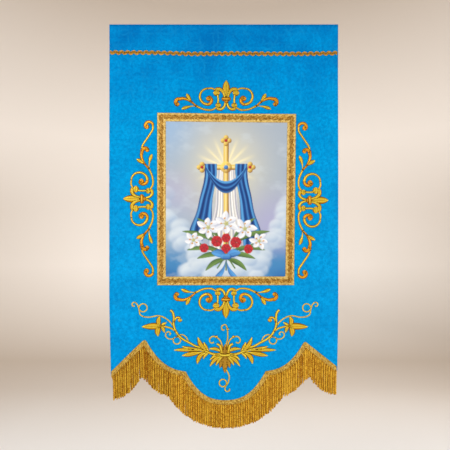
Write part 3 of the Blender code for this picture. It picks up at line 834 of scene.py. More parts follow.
def spray_half():
    return [
        # upper tendril: stalk, loop and end curl
        (vine([(153, 143), (162, 157), (179, 171), (200, 178), (225, 174), (243, 175)], (3.4, 3.2)), YELLOW),
        (vine([(243, 175), (254, 182), (257, 196), (262, 211), (270, 219)], (3.2, 3.2)), YELLOW),
        (vine([(269, 219), (277, 216), (277, 208), (270, 207)], (3.2, 3.2)), YELLOW),
        (curl((245, 202), (12, 12), (0, 330), (3.2, 3.2)), YELLOW),
        # lower tendril: stalk, loop and end curl
        (vine([(110, 101), (116, 114), (127, 121), (138, 119), (147, 113)], (3.2, 3.2)), YELLOW),
        (curl((144, 104), (11, 11), (60, -280), (3.2, 3.2)), YELLOW),
        (vine([(153, 110), (161, 108), (171, 110), (178, 118), (176, 127)], (3.2, 3.2)), YELLOW),
        (vine([(176, 127), (169, 130), (163, 125), (166, 120)], (3.2, 3.2)), YELLOW),
        # main stalk with its hooked tip and side curl
        (vine([(72, 83), (88, 87), (106, 97), (126, 108), (141, 121)], (6.5, 6.5)), YELLOW),
        (vine([(141, 121), (150, 137), (154, 154), (153, 172), (156, 187), (163, 195)], (6.5, 7)), YELLOW),
        (vine([(153, 158), (149, 168), (142, 173), (134, 171)], (5, 7)), WARM),
        (knob((135, 165), 6.5), WARM),
        # flower on its branch
        (vine([(147, 131), (163, 141), (186, 147)], (4.6, 5)), YELLOW),
        (leaf((192, 149), (175, 158), 10), YELLOW),
        (leaf((192, 150), (181, 127), 12, bow=-0.05), YELLOW),
        (leaf((194, 146), (194, 177), 15, bow=-0.17), YELLOW),
        (leaf((195, 150), (200, 116), 18, bow=0.12), YELLOW),
        (leaf((186, 148), (249, 145), 21, belly=0.45), YELLOW),
        (knob((193, 148), 4.4), WARM),
        # lower side of the acanthus leaf
        (leaf((46, 67), (65, 48), 10, bow=0.14), YELLOW),
        (leaf((52, 68), (83, 33), 15, bow=0.2, belly=0.6), YELLOW),
        # its long side, in three lobes
        (leaf((62, 70), (129, 58), 15, belly=0.6), YELLOW),
        (leaf((62, 78), (129, 86), 11, bow=-0.05, belly=0.6), YELLOW),
        (leaf((60, 73), (153, 75), 13, bow=0.02, belly=0.62), YELLOW),
        # its upper side
        (leaf((48, 71), (63, 99), 12, bow=-0.06), YELLOW),
        (leaf((50, 71), (81, 114), 15, bow=-0.12), YELLOW),
        # stalk from the palmette
        (vine([(8, 64), (28, 62), (44, 66), (62, 74)], (8, 7)), YELLOW),
        # side tendril with its bud
        (vine([(6, 76), (12, 100), (25, 115)], (3.4, 3.2)), YELLOW),
        (vine([(25, 115), (37, 116), (45, 109), (45, 100), (39, 96), (33, 99)], (3.2, 3.2)), YELLOW),
        (knob((26, 115), 4.4), WARM),
        # palmette: upper side petal and the hanging petals
        (leaf((8, 68), (48, 78), 12, bow=0.13), YELLOW),
        (leaf((7, 56), (27, 29), 11, bow=0.06), YELLOW),
        (leaf((7, 58), (45, 26), 13, bow=0.11), YELLOW),
        (leaf((7, 60), (45, 45), 11, bow=0.15), YELLOW),
        # crown petal with its hooked tip
        (vine([(9, 60), (12, 78), (15, 88), (24, 94)], (9, 6.5)), YELLOW),
    ]


def spray_centre():
    return [
        # lower tendril with its loop and end curl
        (vine([(1, 20), (9, 7), (13, -6), (10, -22), (3, -33)], (3.6, 3.2)), YELLOW),
        (vine([(3, -33), (0, -42), (5, -49), (13, -47), (14, -41)], (3.2, 3.2)), YELLOW),
        (curl((-6, -24), (11, 11), (-35, -385), (3.2, 3.2)), YELLOW),
        # upper tendril with its bud
        (vine([(1, 84), (8, 108), (8, 137)], (3.4, 3.2)), YELLOW),
        (vine([(8, 138), (2, 151), (-9, 147), (-8, 136), (-1, 136)], (3.2, 3.2)), YELLOW),
        (knob((8, 138), 4), WARM),
        # cup above the band and bell below it
        (leaf((-4, 56), (-7, 90), 9), BROWN),
        (leaf((4, 56), (7, 90), 9), BROWN),
        (leaf((0, 56), (0, 93), 9), BROWN),
        (leaf((-5, 60), (-15, 21), 14), BROWN),
        (leaf((5, 60), (15, 21), 14), BROWN),
        (leaf((0, 60), (0, 6), 20, belly=0.4), BROWN),
        (vine([(-15, 61), (0, 59), (15, 61)], (7.4, 7.4)), YELLOW),
    ]


def mirrored(strokes):
    return [(spine * np.array([-1.0, 1.0, 1.0]), warmth) for spine, warmth in strokes]


def motif_strokes(motif):
    if motif == "spray":
        half = spray_half()
        pairs = [s for pair in zip(half, mirrored(half)) for s in pair]
        return pairs + spray_centre()
    half = scroll_half()
    strokes = half + mirrored(half) + scroll_lily()
    if motif == "long_scroll":
        strokes = scroll_end() + mirrored(scroll_end()) + strokes
    return strokes


TURNS = {"up": (1, 0, 0, 1), "down": (1, 0, 0, -1), "left": (0, -1, 1, 0), "right": (0, 1, 1, 0)}


VEIN_FROM = 4.4
VEIN_SHADE = 0.55
RIM_WIDTH = 2.7
GROOVE_CELL = 1.2
GROOVE_REACH = 0.9
GROOVE_SHADE = 0.85
EMPTY_CELL = -9.0
BAND_LIFT = 1.0
STROKE_LIFT = 0.012


def ribbon_rings(x, y, z, behind):
    """Rings across a ribbon: its front from side to side, then its two edges at the back."""
    front = np.stack([x, y, z], axis=-1)
    back = np.stack([x[:, [-1, 0]], behind[:, [-1, 0]], z[:, [-1, 0]]], axis=-1)
    return np.concatenate([front, back], axis=1)


def stitched_rings(spine, lift, fullness):
    """A domed ribbon of satin stitch along a spine in the plan, with its shares of painted shade at the
    edges, in the vein of wide leaves and between the threads.
    """
    line, along = evenly(spine[:, :2], STITCH_STEP, extra=[spine[:, 2]])
    path, half = line[:, :2], np.maximum(line[:, 2], 0.3)
    ahead = directions(path)
    across = np.stack([-ahead[:, 1], ahead[:, 0]], axis=1)
    plan = path[:, None, :] + across[:, None, :] * (half[:, None] * SECTION[None, :])[..., None]
    dome = np.sqrt(np.maximum(1 - SECTION**2, 0.0))[None, :]
    height = fullness * np.minimum(0.75 + 0.33 * half, STITCH_HIGHEST)[:, None] * dome
    vein = smooth((half - VEIN_FROM) / 1.6)[:, None] * np.exp(-((SECTION / 0.15) ** 2))[None, :]
    height = height * (1 - 0.3 * vein)
    slant = np.abs(SECTION)[None, :] * half[:, None] * 0.6
    thread = np.sin(2 * np.pi * (along[:, None] - slant) / STITCH_PITCH)
    height = height + STITCH_RELIEF * thread * dome
    base = drape(plan[..., 0], plan[..., 1]) - FRONT
    rings = ribbon_rings(plan[..., 0], base - lift - height, plan[..., 1], base - 0.05)
    rise = np.pad(lift + height, ((0, 0), (0, 2)))
    edge = np.concatenate([np.abs(SECTION), [1.0, 1.0]])
    # Painted shade at the stroke's edges and rim
    rim = smooth(1.0 - (1 - edge)[None, :] * half[:, None] / RIM_WIDTH)
    shade = 0.5 * smooth((edge - 0.1) / 0.5)[None, :] + 0.5 * rim
    shade = shade * np.clip(half / 3.0 - 0.2, 0.0, 1.0)[:, None]
    # Painted shade in the vein down the middle of wide leaves
    shade = shade + VEIN_SHADE * np.pad(vein, ((0, 0), (0, 2)))
    # Painted shade in the hollows between the threads
    shade = shade + 0.12 * np.pad(-thread, ((0, 0), (0, 2)))
    return rings, rise, shade


def groove_shares(strokes):
    """For each stroke's points, how near they are to a groove where two strokes meet, as a share of painted
    shade.
    """
    places = [np.round(rings[..., [0, 2]] / GROOVE_CELL).astype(int) for rings, _, _ in strokes]
    low = np.min([p.min(axis=(0, 1)) for p in places], axis=0)
    high = np.max([p.max(axis=(0, 1)) for p in places], axis=0)
    top = np.full(high - low + 1, EMPTY_CELL)
    second = top.copy()
    for place, (_, rise, _) in zip(places, strokes):
        own = np.full(top.shape, EMPTY_CELL)
        spot = place - low
        np.maximum.at(own, (spot[..., 0], spot[..., 1]), rise)
        second = np.maximum(second, np.minimum(top, own))
        top = np.maximum(top, own)
    groove = smooth(1.0 - (top - second) / GROOVE_REACH) * (second > 0)
    return [groove[tuple(np.moveaxis(place - low, -1, 0))] for place in places]


def satin_tone(warmth, shade):
    """A painted highlight along the middle of a stroke, golden on its flanks and painted shade, brown, at
    its edges and in its grooves.
    """
    highlight = blend(HIGHLIGHT_GOLD, OLD_GOLD if warmth < 0 else HIGHLIGHT_ORANGE, abs(warmth))
    flank = blend(FLANK_GOLD, OLD_GOLD * 0.8 if warmth < 0 else FLANK_ORANGE, abs(warmth))
    return blend(blend(highlight, flank, smooth(shade * 2.2)), SHADE_GOLD, smooth(shade * 2.0 - 0.9))


def build_motif(node, motif, x, z, points, painted_light, material):
    """An embroidered motif; its last stroke is a band that lies over the others."""
    xu, xv, zu, zv = TURNS[points]
    lines = motif_strokes(motif)
    strokes = []
    for order, (spine, warmth) in enumerate(lines):
        u, v, half = spine.T
        placed = np.stack([x + xu * u + xv * v, z + zu * u + zv * v, half], axis=1)
        fullness = LOW_STITCH if warmth < 0 else 1.0
        lift = 0.05 + STROKE_LIFT * order + (BAND_LIFT if order == len(lines) - 1 else 0.0)
        strokes.append(stitched_rings(placed, lift, fullness))
    bundle = Bundle()
    for (_, warmth), (rings, _, shade), groove in zip(lines, strokes, groove_shares(strokes)):
        # Painted shade in the grooves where two strokes meet
        shade = np.clip(shade + GROOVE_SHADE * groove, 0.0, 1.0)
        bundle.add(rings, painted_light * satin_tone(warmth, shade))
    obj = bundle.make("stitched_" + node, material)
    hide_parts(node)
    return obj


# Top braid

BRAID_Z = -84.5
BRAID_DIP = 3.6
BRAID_TILT = 1.7
BRAID_WAVE = 18.3
BRAID_SWING = 2.3
BRAID_STEP = 0.9
YARN_RADIUS = 1.15
YARN_PITCH = 4.4
BRAID_YARNS = (
    # offset, painted light from 0 to 1
    (-3.7, 1.0),
    (-1.85, 0.8),
    (0.0, 0.6),
    (1.85, 0.75),
    (3.7, 1.0),
)


def build_top_braid(material):
    """Plied yarns side by side in one wave, with painted light and shade."""
    x = np.arange(-HALF_WIDTH + 1.0, HALF_WIDTH - 1.0, BRAID_STEP)
    level = BRAID_Z - BRAID_DIP * np.cos(x / HALF_WIDTH * np.pi / 2)
    level = level - BRAID_TILT * x / HALF_WIDTH + 0.8 * np.sin(x / 47.0)
    phase = 2 * np.pi * (x / BRAID_WAVE)
    bundle = Bundle()
    for order, (offset, shine) in enumerate(BRAID_YARNS):
        lean = -offset * 0.3 * np.cos(phase)
        z = level + BRAID_SWING * np.sin(phase) + offset
        place = x + lean
        y = drape(place, z) - FRONT - 1.25 - 0.25 * np.cos(phase * 2 + order)
        path = np.stack([place, y, z], axis=1)
        rings, lobe = twisted_yarn(path, np.full(len(x), YARN_RADIUS), YARN_PITCH, depth=0.4)
        # Painted light on the outer yarns, lighter and darker along the wave, and painted shade between the
        # plies; fleck is random
        bump = 0.6 + 0.4 * np.sin(phase) * np.sign(offset)
        fleck = cloudy(x, np.full(len(x), offset * 2), 3.0, 31)
        shade = (1.0 - lobe) * 1.5 + (0.55 - shine * bump + 1.2 * (fleck - 0.4))[:, None]
        tone = blend(BRAID_LIGHT, BRAID_DARK, np.clip(shade, 0.0, 1.0))
        bundle.add(rings, tone)
    obj = bundle.make("wavy_braid", material)
    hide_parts("top_braid")
    return obj


# Braid round the picture

FRAME_STEP = 1.2
SCALLOP = 18.0
LIGHT_EDGE = 5.0
OVAL_REACH = 2.6


def frame_corners(inset):
    """The frame's four corners, drawn in by this much."""
    corners = np.array(FRAME_CORNERS)
    return corners - np.sign(corners - np.mean(corners, axis=0)) * inset


def frame_rails():
    """Outer and inner lines of the frame at even steps, with the length along it."""
    outer, inner, along, total = [], [], [], 0.0
    corners, inset = frame_corners(0.0), frame_corners(FRAME_WIDTH)
    for k in range(4):
        a, b = corners[k], corners[(k + 1) % 4]
        c, d = inset[k], inset[(k + 1) % 4]
        count = int(np.linalg.norm(b - a) / FRAME_STEP)
        share = np.arange(count)[:, None] / count
        length = np.linalg.norm(d - c)
        scallops = round(length / SCALLOP)
        outer.append(a + (b - a) * share)
        inner.append(c + (d - c) * share)
        along.append(share[:, 0] * scallops + total)
        total += scallops
    return np.concatenate(outer), np.concatenate(inner), np.concatenate(along)


def build_picture_braid(material):
    """A woven braid: pale edges that arch towards each other round darker mottled ovals, with painted
    glints.
    """
    outer, inner, turns = frame_rails()
    across = np.concatenate([[0.0], np.linspace(0.015, 0.985, 24), [1.0]])
    plan = outer[:, None, :] + (inner - outer)[:, None, :] * across[None, :, None]
    w = FRAME_WIDTH * across[None, :] * np.ones((len(turns), 1))
    s = SCALLOP * turns[:, None] * np.ones_like(w)
    arch = OVAL_REACH * np.abs(np.cos(np.pi * turns))[:, None] ** 3
    wander = 5.0 * (cloudy(s, w, 4.0, 3) - 0.5)
    outer_light = smooth((LIGHT_EDGE + arch - w + wander) / 2.0 + 0.5)
    inner_light = smooth((w - FRAME_WIDTH + LIGHT_EDGE + 1.2 + arch + wander) / 2.0 + 0.5)
    pale = np.clip(outer_light + inner_light, 0, 1)
    ribs = np.sin(2 * np.pi * (s + 0.7 * w) / 2.7)
    twill = np.sin(2 * np.pi * s / 4.5 + 2.2 * np.sin(2 * np.pi * w / 6.5))
    fleck = cloudy(s, w, 2.8, 29)
    height = 1.15 + 0.55 * pale + 0.2 * ribs * pale + 0.3 * twill * (1 - pale)
    rounded = np.sqrt(np.clip(across * (1 - across) * 40.0, 0.0, 1.0))
    height = (height + 0.5 * (fleck - 0.5)) * rounded[None, :]
    base = drape(plan[..., 0], plan[..., 1]) - PANEL_FRONT
    rings = ribbon_rings(plan[..., 0], base - 0.15 - height, plan[..., 1], base - 0.1)
    # Painted glints: random sparkle, with the twill and ribs picked out lighter
    glint = np.clip(0.5 + 0.3 * twill + 2.4 * (fleck - 0.5), 0, 1)
    middle = blend(OVAL_DARK, OVAL_LIGHT, glint)
    gleam = np.clip(0.62 + 0.25 * ribs + 2.4 * (fleck - 0.5), 0, 1)
    edge = blend(EDGE_DARK, PALE_GOLD, gleam)
    tone = middle * (1 - pale[..., None]) + edge * pale[..., None]
    tone = np.concatenate([tone, np.broadcast_to(BROWN_GOLD, (len(tone), 2, 3))], axis=1)
    bundle = Bundle()
    bundle.add(rings, tone, closed=True)
    obj = bundle.make("framing_braid", material)
    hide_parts("picture_braid")
    return obj


# Picture: a plain devotional design painted point by point

PICTURE_STEP = 1.6
PANEL_THICK = 0.7
PANEL_FRONT = FRONT + 0.15 + PANEL_THICK
BACK_SKIP = 9
CROSSING = 96.0


class Painting:
    """Colours over a grid of places, laid one over another."""

    def __init__(self, p, q):
        self.p, self.q = p, q
        self.colour = np.zeros((*p.shape, 3))

    def wash(self, colour, share):
        share = np.clip(share, 0.0, 1.0)[..., None]
        self.colour = self.colour * (1 - share) + np.asarray(colour) * share

    def cover(self, colour, mask):
        """Colours that differ from place to place, laid on by a mask."""
        self.colour = self.colour * (1 - mask[..., None]) + colour * mask[..., None]

    def puff(self, centre, radius, share):
        """A billow of cloud, white above and blue-grey below."""
        dp, dq = (self.p - centre[0]) / radius, (self.q - centre[1]) / radius
        away = np.hypot(dp, dq * 1.25)
        lit = smooth(0.55 + 0.45 * dq - 0.2 * dp)
        tone = blend(light(132, 164, 200), light(222, 230, 234), lit)
        self.cover(tone, smooth((1.0 - away) / 0.4) * share)

    def petal(self, base, tip, width, pale, deep, bend=0.0, belly=0.5):
        """A pointed petal, deeper in colour along one side and at its base."""
        base, tip = np.array(base, float), np.array(tip, float)
        along = tip - base
        length = np.linalg.norm(along)
        ahead = along / length
        dp, dq = self.p - base[0], self.q - base[1]
        t = (dp * ahead[0] + dq * ahead[1]) / length
        side = -dp * ahead[1] + dq * ahead[0] - bend * length * np.sin(np.pi * np.clip(t, 0, 1))
        inside = np.clip(t, 0.001, 0.999)
        half = width / 2 * bulge(inside, belly) ** 0.75
        mask = smooth((half - np.abs(side)) / 1.6 + 0.5) * ((t > 0) & (t < 1))
        rim = smooth(np.abs(side) / np.maximum(half, 0.1) * 1.25 - 0.45)
        shade = np.clip(0.55 * smooth(0.5 - side / width) + 0.35 * (1 - t) + 0.5 * rim - 0.2, 0, 1)
        vein = np.exp(-((side / 0.9) ** 2)) * 0.25
        tone = blend(np.asarray(pale), np.asarray(deep), np.clip(shade + vein, 0, 1))
        self.cover(tone, mask)

    def bar(self, a, b, half, pale, deep):
        """A straight round-ended bar, lit from the left."""
        a, b = np.array(a, float), np.array(b, float)
        along = b - a
        t = np.clip(((self.p - a[0]) * along[0] + (self.q - a[1]) * along[1]) / along.dot(along), 0, 1)
        dp, dq = self.p - a[0] - t * along[0], self.q - a[1] - t * along[1]
        away = np.hypot(dp, dq)
        mask = smooth((half - away) / 1.4 + 0.5)
        shade = np.clip(0.5 + 0.5 * (dp - dq) / half, 0, 1) * 0.8 + 0.4 * smooth(away / half * 2 - 1.2)
        tone = blend(np.asarray(pale), np.asarray(deep), np.clip(shade, 0, 1))
        self.cover(tone, mask)


def paint_sky(art):
    """A pale sky with a warm glow, and banks of cloud that rise at both sides."""
    p, q = art.p, art.q
    art.colour[:] = light(164, 176, 190)
    art.wash(light(152, 182, 214), smooth((-p - 20) / 150) * smooth((q - 40) / 180) * 0.9)
    art.wash(light(168, 168, 202), smooth((p - 10) / 120) * smooth((80 - q) / 160))
    art.wash(light(176, 174, 204), smooth((-p - 30) / 120) * smooth((110 - np.abs(q - 10)) / 100) * 0.7)
    art.wash(light(156, 182, 204), smooth((-p - 60) / 120) * smooth((60 - q) / 200) * 0.8)
    art.wash(light(222, 214, 184), np.exp(-((p / 106.0) ** 2 + ((q - 95) / 120.0) ** 2)) * 0.95)
    art.wash(light(66, 132, 184), smooth((-q - 105) / 90) * smooth((np.abs(p) - 30) / 90))
    art.wash(light(30, 98, 168), smooth((-q - 190) / 50) * smooth((np.abs(p) - 110) / 60) * 0.8)
    chance = np.random.default_rng(21)
    for k in range(84):
        share = k / 83
        reach = 206 - 168 * share**1.4
        side = -1 if k % 2 else 1
        x = side * (reach + chance.uniform(-26, 20))
        y = 14 - 226 * share + chance.uniform(-22, 22)
        art.puff((x, y), chance.uniform(20, 38), 0.35 + 0.5 * share)
    for k in range(36):
        art.puff((chance.uniform(-118, 118), chance.uniform(-232, -178)), chance.uniform(24, 42), 0.8)
    haze = cloudy(p, q * 1.7, 60.0, 5)
    art.wash(light(206, 216, 222), smooth((haze - 0.5) / 0.25) * 0.3)


def paint_glory(art):
    """Soft rays behind the cross."""
    angle = np.arctan2(art.q - CROSSING, art.p)
    away = np.hypot(art.p, art.q - CROSSING)
    ray = np.abs(np.cos(8 * angle)) ** 5 * (0.65 + 0.35 * np.cos(16 * angle))
    art.wash(light(255, 240, 186), ray * smooth((104 - away) / 70) * smooth(away / 14) * 0.75)
    art.wash(light(250, 234, 180), np.exp(-((away / 30.0) ** 2)) * 0.8)


def paint_cross(art):
    pale, deep = light(252, 220, 112), light(140, 84, 18)
    art.bar((0, -150), (0, 176), 8.0, pale, deep)
    art.bar((-72, CROSSING), (72, CROSSING), 8.0, pale, deep)
    art.bar((0, -140), (0, 170), 2.6, light(255, 240, 176), light(226, 180, 70))
    art.bar((-66, CROSSING), (66, CROSSING), 2.6, light(255, 240, 176), light(226, 180, 70))
    for x, y in ((-72, CROSSING), (72, CROSSING), (0, 176)):
        for dx, dy in ((-9, 0), (9, 0), (0, 9), (0, -9)):
            art.bar((x + dx, y + dy), (x + dx + 0.1, y + dy), 7.5, pale, deep)
        art.bar((x, y), (x + 0.1, y), 4.5, light(206, 40, 52), light(120, 14, 30))
    for radius, share in ((15.0, 0.9), (11.0, 0.6)):
        ring = np.abs(np.hypot(art.p, art.q - CROSSING) - radius)
        shade = np.clip((art.p - art.q + CROSSING) / 40 + 0.4, 0, 1)
        art.wash(blend(pale, deep, shade), smooth((3 - ring) / 1.5) * share)
    art.bar((0, CROSSING), (0.1, CROSSING), 6.5, light(96, 160, 222), light(22, 62, 130))


def drape_tone(folds, dark, middle, pale):
    """Colours across folds, dark in their valleys and pale on their ridges."""
    wave = 0.5 + 0.5 * np.sin(folds)
    soft = 0.5 + 0.5 * np.sin(folds * 0.43 + 1.1)
    lit = np.clip(0.75 * wave + 0.35 * soft, 0, 1)
    return blend(blend(dark, middle, smooth(lit * 1.8)), pale, smooth(lit * 2.4 - 1.3))


def paint_white_cloth(art):
    """A long white cloth that falls behind the cross and widens towards its hem."""
    p, q = art.p, art.q
    half = 27 + 25 * smooth((70 - q) / 230) + 1.5 * np.sin(q / 19.0)
    hem = -158 + 5 * np.sin(p / 6.0) + 6 * np.cos(p / 17.0)
    mask = smooth((half - np.abs(p)) / 1.6 + 0.5) * smooth((90 - q) / 3) * smooth((q - hem) / 3)
    folds = 26.0 * p / half + 0.9 * np.sin(q / 41.0 + p / 30.0)
    tone = drape_tone(folds, light(164, 166, 182), light(222, 216, 206), light(252, 251, 246))
    tone = blend(tone, light(176, 176, 196), smooth((np.abs(p) / half - 0.7) / 0.3) * 0.5)
    art.cover(tone, mask)


def paint_blue_cloth(art):
    """A blue cloth over the arms of the cross, with a swag between its two ends."""
    p, q = art.p, art.q
    deep, middle, pale = light(6, 36, 96), light(20, 84, 156), light(84, 156, 214)
    s = np.abs(p)
    lean = np.where(p < 0, 1.0, 0.85)
    widen = smooth((86 - q) / 210)
    outer = 64 + 44 * lean * widen + 5 * np.sin(q / 21.0) * widen
    inner = 30 + 20 * widen + 3 * np.sin(q / 26.0 + 1.4)
    across = (s - inner) / (outer - inner)
    hem = -128 + 12 * np.abs(np.sin(8.5 * across)) - 26 * (1 - across) * (p > 0)
    mask = smooth((outer - s) / 1.6 + 0.5) * smooth((s - inner) / 1.6 + 0.5)
    mask = mask * smooth((108 - q) / 3) * smooth((q - hem) / 2.5)
    tone = drape_tone(17.0 * across + 0.8 * np.sin(q / 33.0), deep, middle, pale)
    tone = blend(tone, deep, smooth((across - 0.8) / 0.2) * 0.6 + smooth((0.1 - across) / 0.1) * 0.4)
    art.cover(tone, mask)
    sag = 104 - 50 * (1 - (p / 64.0) ** 2)
    depth = 6 + 30 * (1 - (p / 64.0) ** 2)
    level = (sag - q) / depth
    mask = smooth(level * depth / 1.6 + 0.5) * smooth((1 - level) * depth / 1.6 + 0.5) * (s < 63)
    tone = drape_tone(14.0 * level + 0.4, deep, middle, pale)
    art.cover(blend(tone, deep, smooth((level - 0.75) / 0.25) * 0.7), mask)


def spoke(centre, reach, angle, squash=1.0):
    """The place at this reach and angle from a centre."""
    return centre[0] + reach * math.cos(angle), centre[1] + reach * math.sin(angle) * squash


def paint_lily(art, centre, size, turn):
    """A six-petalled white lily with gold stamens."""
    white, grey, cream = light(250, 249, 247), light(178, 184, 206), light(232, 222, 178)
    for k, reach in enumerate((1.0, 0.86, 1.0, 0.86, 1.0, 0.86)):
        angle = math.radians(turn + 60 * k)
        tip = spoke(centre, size * reach, angle, squash=0.9)
        art.petal(centre, tip, size * 0.5, white, grey, bend=0.06, belly=0.55)
    art.bar(centre, (centre[0] + 0.1, centre[1]), size * 0.16, cream, light(170, 178, 110))
    for k in range(5):
        angle = math.radians(turn + 20 + 72 * k)
        tip = spoke(centre, size * 0.38, angle)
        art.bar(centre, tip, 0.9, light(190, 190, 120), light(160, 150, 80))
        art.bar(tip, (tip[0] + 2.4, tip[1] + 1.0), 1.8, light(238, 176, 40), light(178, 96, 20))


def paint_rose(art, centre, size):
    red, deep = light(206, 44, 52), light(120, 14, 30)
    for ring, count in ((1.0, 6), (0.66, 5), (0.36, 3)):
        for k in range(count):
            angle = 2 * math.pi * k / count + ring * 2
            tip = spoke(centre, size * ring, angle)
            art.petal(centre, tip, size * 0.95 * ring, red, deep, bend=0.15, belly=0.7)


STEMS = (
    # tip x, tip y, foot x, foot y
    (-58.0, -78.0, 26.0, -206.0),
    (0.0, -62.0, 0.0, -212.0),
    (58.0, -80.0, -26.0, -206.0),
    (-98.0, -122.0, 34.0, -196.0),
    (98.0, -124.0, -34.0, -196.0),
)
LEAVES = (
    # base x, base y, tip x, tip y
    (8.0, -166.0, 88.0, -178.0),
    (14.0, -154.0, 118.0, -152.0),
    (24.0, -132.0, 132.0, -96.0),
    (20.0, -120.0, 88.0, -56.0),
    (6.0, -176.0, 62.0, -214.0),
)
LILIES = (
    # x, y, size, turn
    (-98.0, -122.0, 31.0, 10.0),
    (99.0, -125.0, 31.0, 50.0),
    (-54.0, -84.0, 38.0, 30.0),
    (56.0, -88.0, 38.0, 0.0),
    (0.0, -72.0, 42.0, 90.0),
)
ROSES = (
    # x, y, size
    (-28.0, -126.0, 17.0),
    (29.0, -129.0, 17.0),
    (0.0, -116.0, 14.0),
    (-66.0, -146.0, 14.0),
    (67.0, -149.0, 14.0),
    (0.0, -148.0, 15.0),
)


def paint_bouquet(art):
    green, deep = light(116, 148, 74), light(34, 72, 40)
    for tip_x, tip_y, foot_x, foot_y in STEMS:
        art.bar((foot_x, foot_y), (tip_x, tip_y), 2.1, green, deep)
    for side in (-1, 1):
        for base_x, base_y, tip_x, tip_y in LEAVES:
            base, tip = (base_x * side, base_y), (tip_x * side, tip_y)
            art.petal(base, tip, 15, green, deep, bend=0.08 * side)
    for x, y, size, turn in LILIES:
        paint_lily(art, (x, y), size, turn)
    for x, y, size in ROSES:
        paint_rose(art, (x, y), size)
    ribbon, shadow = light(92, 164, 226), light(16, 66, 140)
    for side in (-1, 1):
        art.petal((0, -172), (44 * side, -160), 24, ribbon, shadow, bend=0.1 * side)
        art.petal((0, -174), (34 * side, -240), 15, ribbon, shadow, bend=-0.12 * side, belly=0.75)
    art.bar((-8, -172), (8, -172), 8.0, ribbon, shadow)


PAINTS = (paint_sky, paint_glory, paint_white_cloth, paint_cross, paint_blue_cloth, paint_bouquet)


def build_panel(material):
    corners = frame_corners(PANEL_MARGIN)
    low_left, low_right, top_right, top_left = corners
    wide = int(np.linalg.norm(top_right - top_left) / PICTURE_STEP)
    tall = int(np.linalg.norm(top_left - low_left) / PICTURE_STEP)
    s = np.linspace(0, 1, wide + 1)[None, :, None]
    t = np.linspace(0, 1, tall + 1)[:, None, None]
    plan = (top_left * (1 - s) + top_right * s) * (1 - t) + (low_left * (1 - s) + low_right * s) * t
    middle = np.mean(corners, axis=0)
    art = Painting(plan[..., 0] - middle[0], plan[..., 1] - middle[1])
    for paint in PAINTS:
        paint(art)
    y = drape(plan[..., 0], plan[..., 1]) - PANEL_FRONT
    front = np.stack([plan[..., 0], y, plan[..., 1]], axis=-1)
    back = front[:, ::-BACK_SKIP] + np.array([0.0, PANEL_THICK, 0.0])
    tone = np.concatenate([art.colour, np.broadcast_to(light(220, 220, 226), back.shape)], axis=1)
    bundle = Bundle()
    bundle.add(np.concatenate([front, back], axis=1), tone)
    obj = bundle.make("printed_picture", material)
    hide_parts("picture_panel")
    return obj


# Fringe

HEADING_STEP = 1.2
STRAND_GAP = 6.8
STRAND_PITCH = 12.5
STRAND_TURN = 7.0
GLINT_STEP = 3.5
GLOOM_SPREAD = 14.0
LEFT_SHADE = 0.14
LEFT_SHADE_FROM = -120.0
STRAND_LAYERS = (
    # name, depth before the cloth, shift along the edge, shorter by, radius, relief, darker by (painted
    # shade of the back layer)
    ("fringe_back", 2.2, 0.5, 1.5, 3.2, 0.2, 0.34),
    ("fringe_front", 5.2, 0.0, 0.0, 2.5, 0.5, 0.0),
)


def build_heading(material):
    """The woven tape of the fringe, with slanting yarns in three rows and painted light on their ridges."""
    x = np.arange(-HALF_WIDTH + 0.6, HALF_WIDTH - 0.5, HEADING_STEP)
    top, low = lower_edge(x), below_edge(x, HEADING_WIDTH)
    rail = np.stack([x, (top + low) / 2], axis=1)
    along = runs(rail)[:, None]
    share = np.concatenate([[0.0], np.linspace(0.04, 0.96, 13), [1.0]])[None, :]
    z = top[:, None] + (low - top)[:, None] * share
    place = (x + side_drift(x, top))[:, None] * np.ones_like(z)
    row = share * 3.0
    lean = np.where((row.astype(int) % 2) == 0, 1.0, -1.0)
    ribs = np.sin(2 * np.pi * (along + lean * 5.0 * share * 1.6) / 3.8)
    ridge = np.abs(np.sin(np.pi * row))
    fleck = cloudy(along * np.ones_like(z), 15.0 * share * np.ones_like(z), 3.2, 17)
    rounded = np.sqrt(np.clip(share * (1 - share) * 25, 0, 1))
    height = (1.3 + 0.7 * ridge + 0.32 * ribs * ridge) * rounded
    base = drape(x[:, None] * np.ones_like(z), z) - FRONT
    rings = ribbon_rings(place, base - 0.15 - height, z, base - 0.1)
    # Painted light on the ridges of the rows and ribs, with random flecks
    shade = np.clip(0.62 - 0.3 * ridge - 0.3 * ribs + 2.6 * (0.5 - fleck), 0, 1)
    tone = blend(HEADING_GOLD, HEADING_DEEP, shade)
    tone = np.concatenate([tone, np.broadcast_to(HEADING_DEEP, (len(tone), 2, 3))], axis=1)
    bundle = Bundle()
    bundle.add(rings, tone)
    return bundle.make("fringe_heading", material)


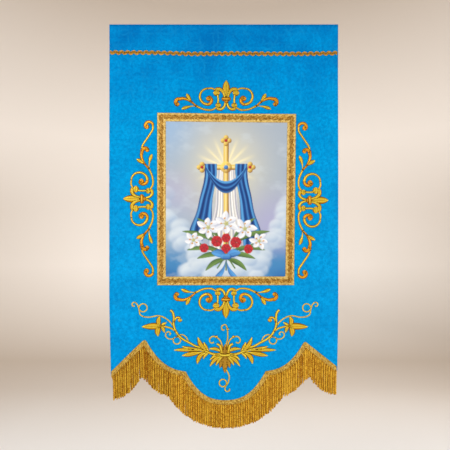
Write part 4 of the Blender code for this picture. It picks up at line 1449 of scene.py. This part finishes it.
def build_strands(name, forward, shift, shorter, radius, relief, darker, chance, material):
    """One layer of twisted strands that leave the heading square to it and then hang, with painted shade and
    glints.
    """
    x = np.arange(STRAND_GAP * (shift + 0.3) - HALF_WIDTH, HALF_WIDTH - 1.5, STRAND_GAP)
    roots = np.stack([x, below_edge(x, HEADING_WIDTH - 1.5)], axis=1)
    bundle = Bundle()
    for root, (_, ahead_z) in zip(roots, directions(roots)):
        end_x = root[0] + ahead_z * (2.5 + chance.uniform(-0.4, 0.4))
        end_x = min(max(end_x, 8.0 - HALF_WIDTH), HALF_WIDTH - 3.0)
        tip = strand_tips(np.array([end_x]))[0] + chance.uniform(-1.6, 2.4) + shorter
        drop = root[1] - tip
        t = np.linspace(0.0, 1.0, max(12, int(drop / 1.6)))
        bend = 1 - np.exp(-t * drop / STRAND_TURN)
        sway = chance.uniform(-1.0, 1.0) * t**1.5
        sway = sway + 0.5 * np.sin(t * drop / 9.0 + chance.uniform(0, 6)) * t
        place = root[0] + (end_x - root[0]) * bend + sway
        z = root[1] - drop * t
        depth = drape(place, np.maximum(z, root[1])) - forward + chance.uniform(-0.5, 0.5)
        depth = depth - 0.9 * np.sin(t * 2.2 + chance.uniform(0, 2)) * t
        path = np.stack([place + side_drift(place, z), depth, z], axis=1)
        size = np.full(len(t), radius + chance.uniform(-0.25, 0.25))
        size[0] *= 0.8
        size[-2:] *= (0.85, 0.45)
        start = chance.uniform(0, 3)
        rings, lobe = twisted_yarn(path, size, STRAND_PITCH, depth=relief, around=9, start=start)
        # Painted glints along each strand, painted shade just under the heading and between the strands near
        # the notches; the rest of own is random per strand
        glint = np.interp(t * drop, GLINT_STEP * np.arange(38), chance.uniform(-0.5, 0.5, 38))
        under = 0.08 * np.exp(-t * drop / 9.0)
        gloom = sum(math.exp(-(((root[0] - notch) / GLOOM_SPREAD) ** 2)) for notch in NOTCHES)
        own = chance.uniform(-0.25, 0.15) + gloom * chance.uniform(-0.1, 0.7)
        # Painted shade between the plies, and over the whole back layer
        shade = (1.0 - lobe) * 1.6 + own + (glint + under)[:, None] + darker
        tone = blend(FRINGE_GOLD, FRINGE_DEEP, np.clip(shade, 0, 1))
        # Painted shade over the left wing
        left_shade = 1 - LEFT_SHADE * smooth((LEFT_SHADE_FROM - root[0]) / 60.0)
        bundle.add(rings, tone * (1 - darker) * left_shade)
    return bundle.make(name, material)


# Everything together


def main():
    build_camera()
    build_stage()
    build_lights()
    damask = damask_material()
    satin = thread_material("gold_thread", 0.36, 0.3, 0.0009, 0.35)
    braid = thread_material("gold_braid", 0.42, 0.3, 0.0008, 0.4)
    yarn = thread_material("fringe_gold", 0.42, 0.3, 0.0007, 0.4)
    cloth = build_cloth(damask)
    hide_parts("banner_cloth")
    picture = build_panel(print_material())
    trims = [build_top_braid(braid), build_picture_braid(braid)]
    for row in MOTIFS:
        trims.append(build_motif(*row, satin))
    chance = np.random.default_rng(7)
    fringe = [build_heading(yarn)]
    for layer in STRAND_LAYERS:
        fringe.append(build_strands(*layer, chance, yarn))
    for piece in fringe:
        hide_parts("fringe")
    for piece in [cloth, picture, *trims, *fringe]:
        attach(piece, "root")


main()
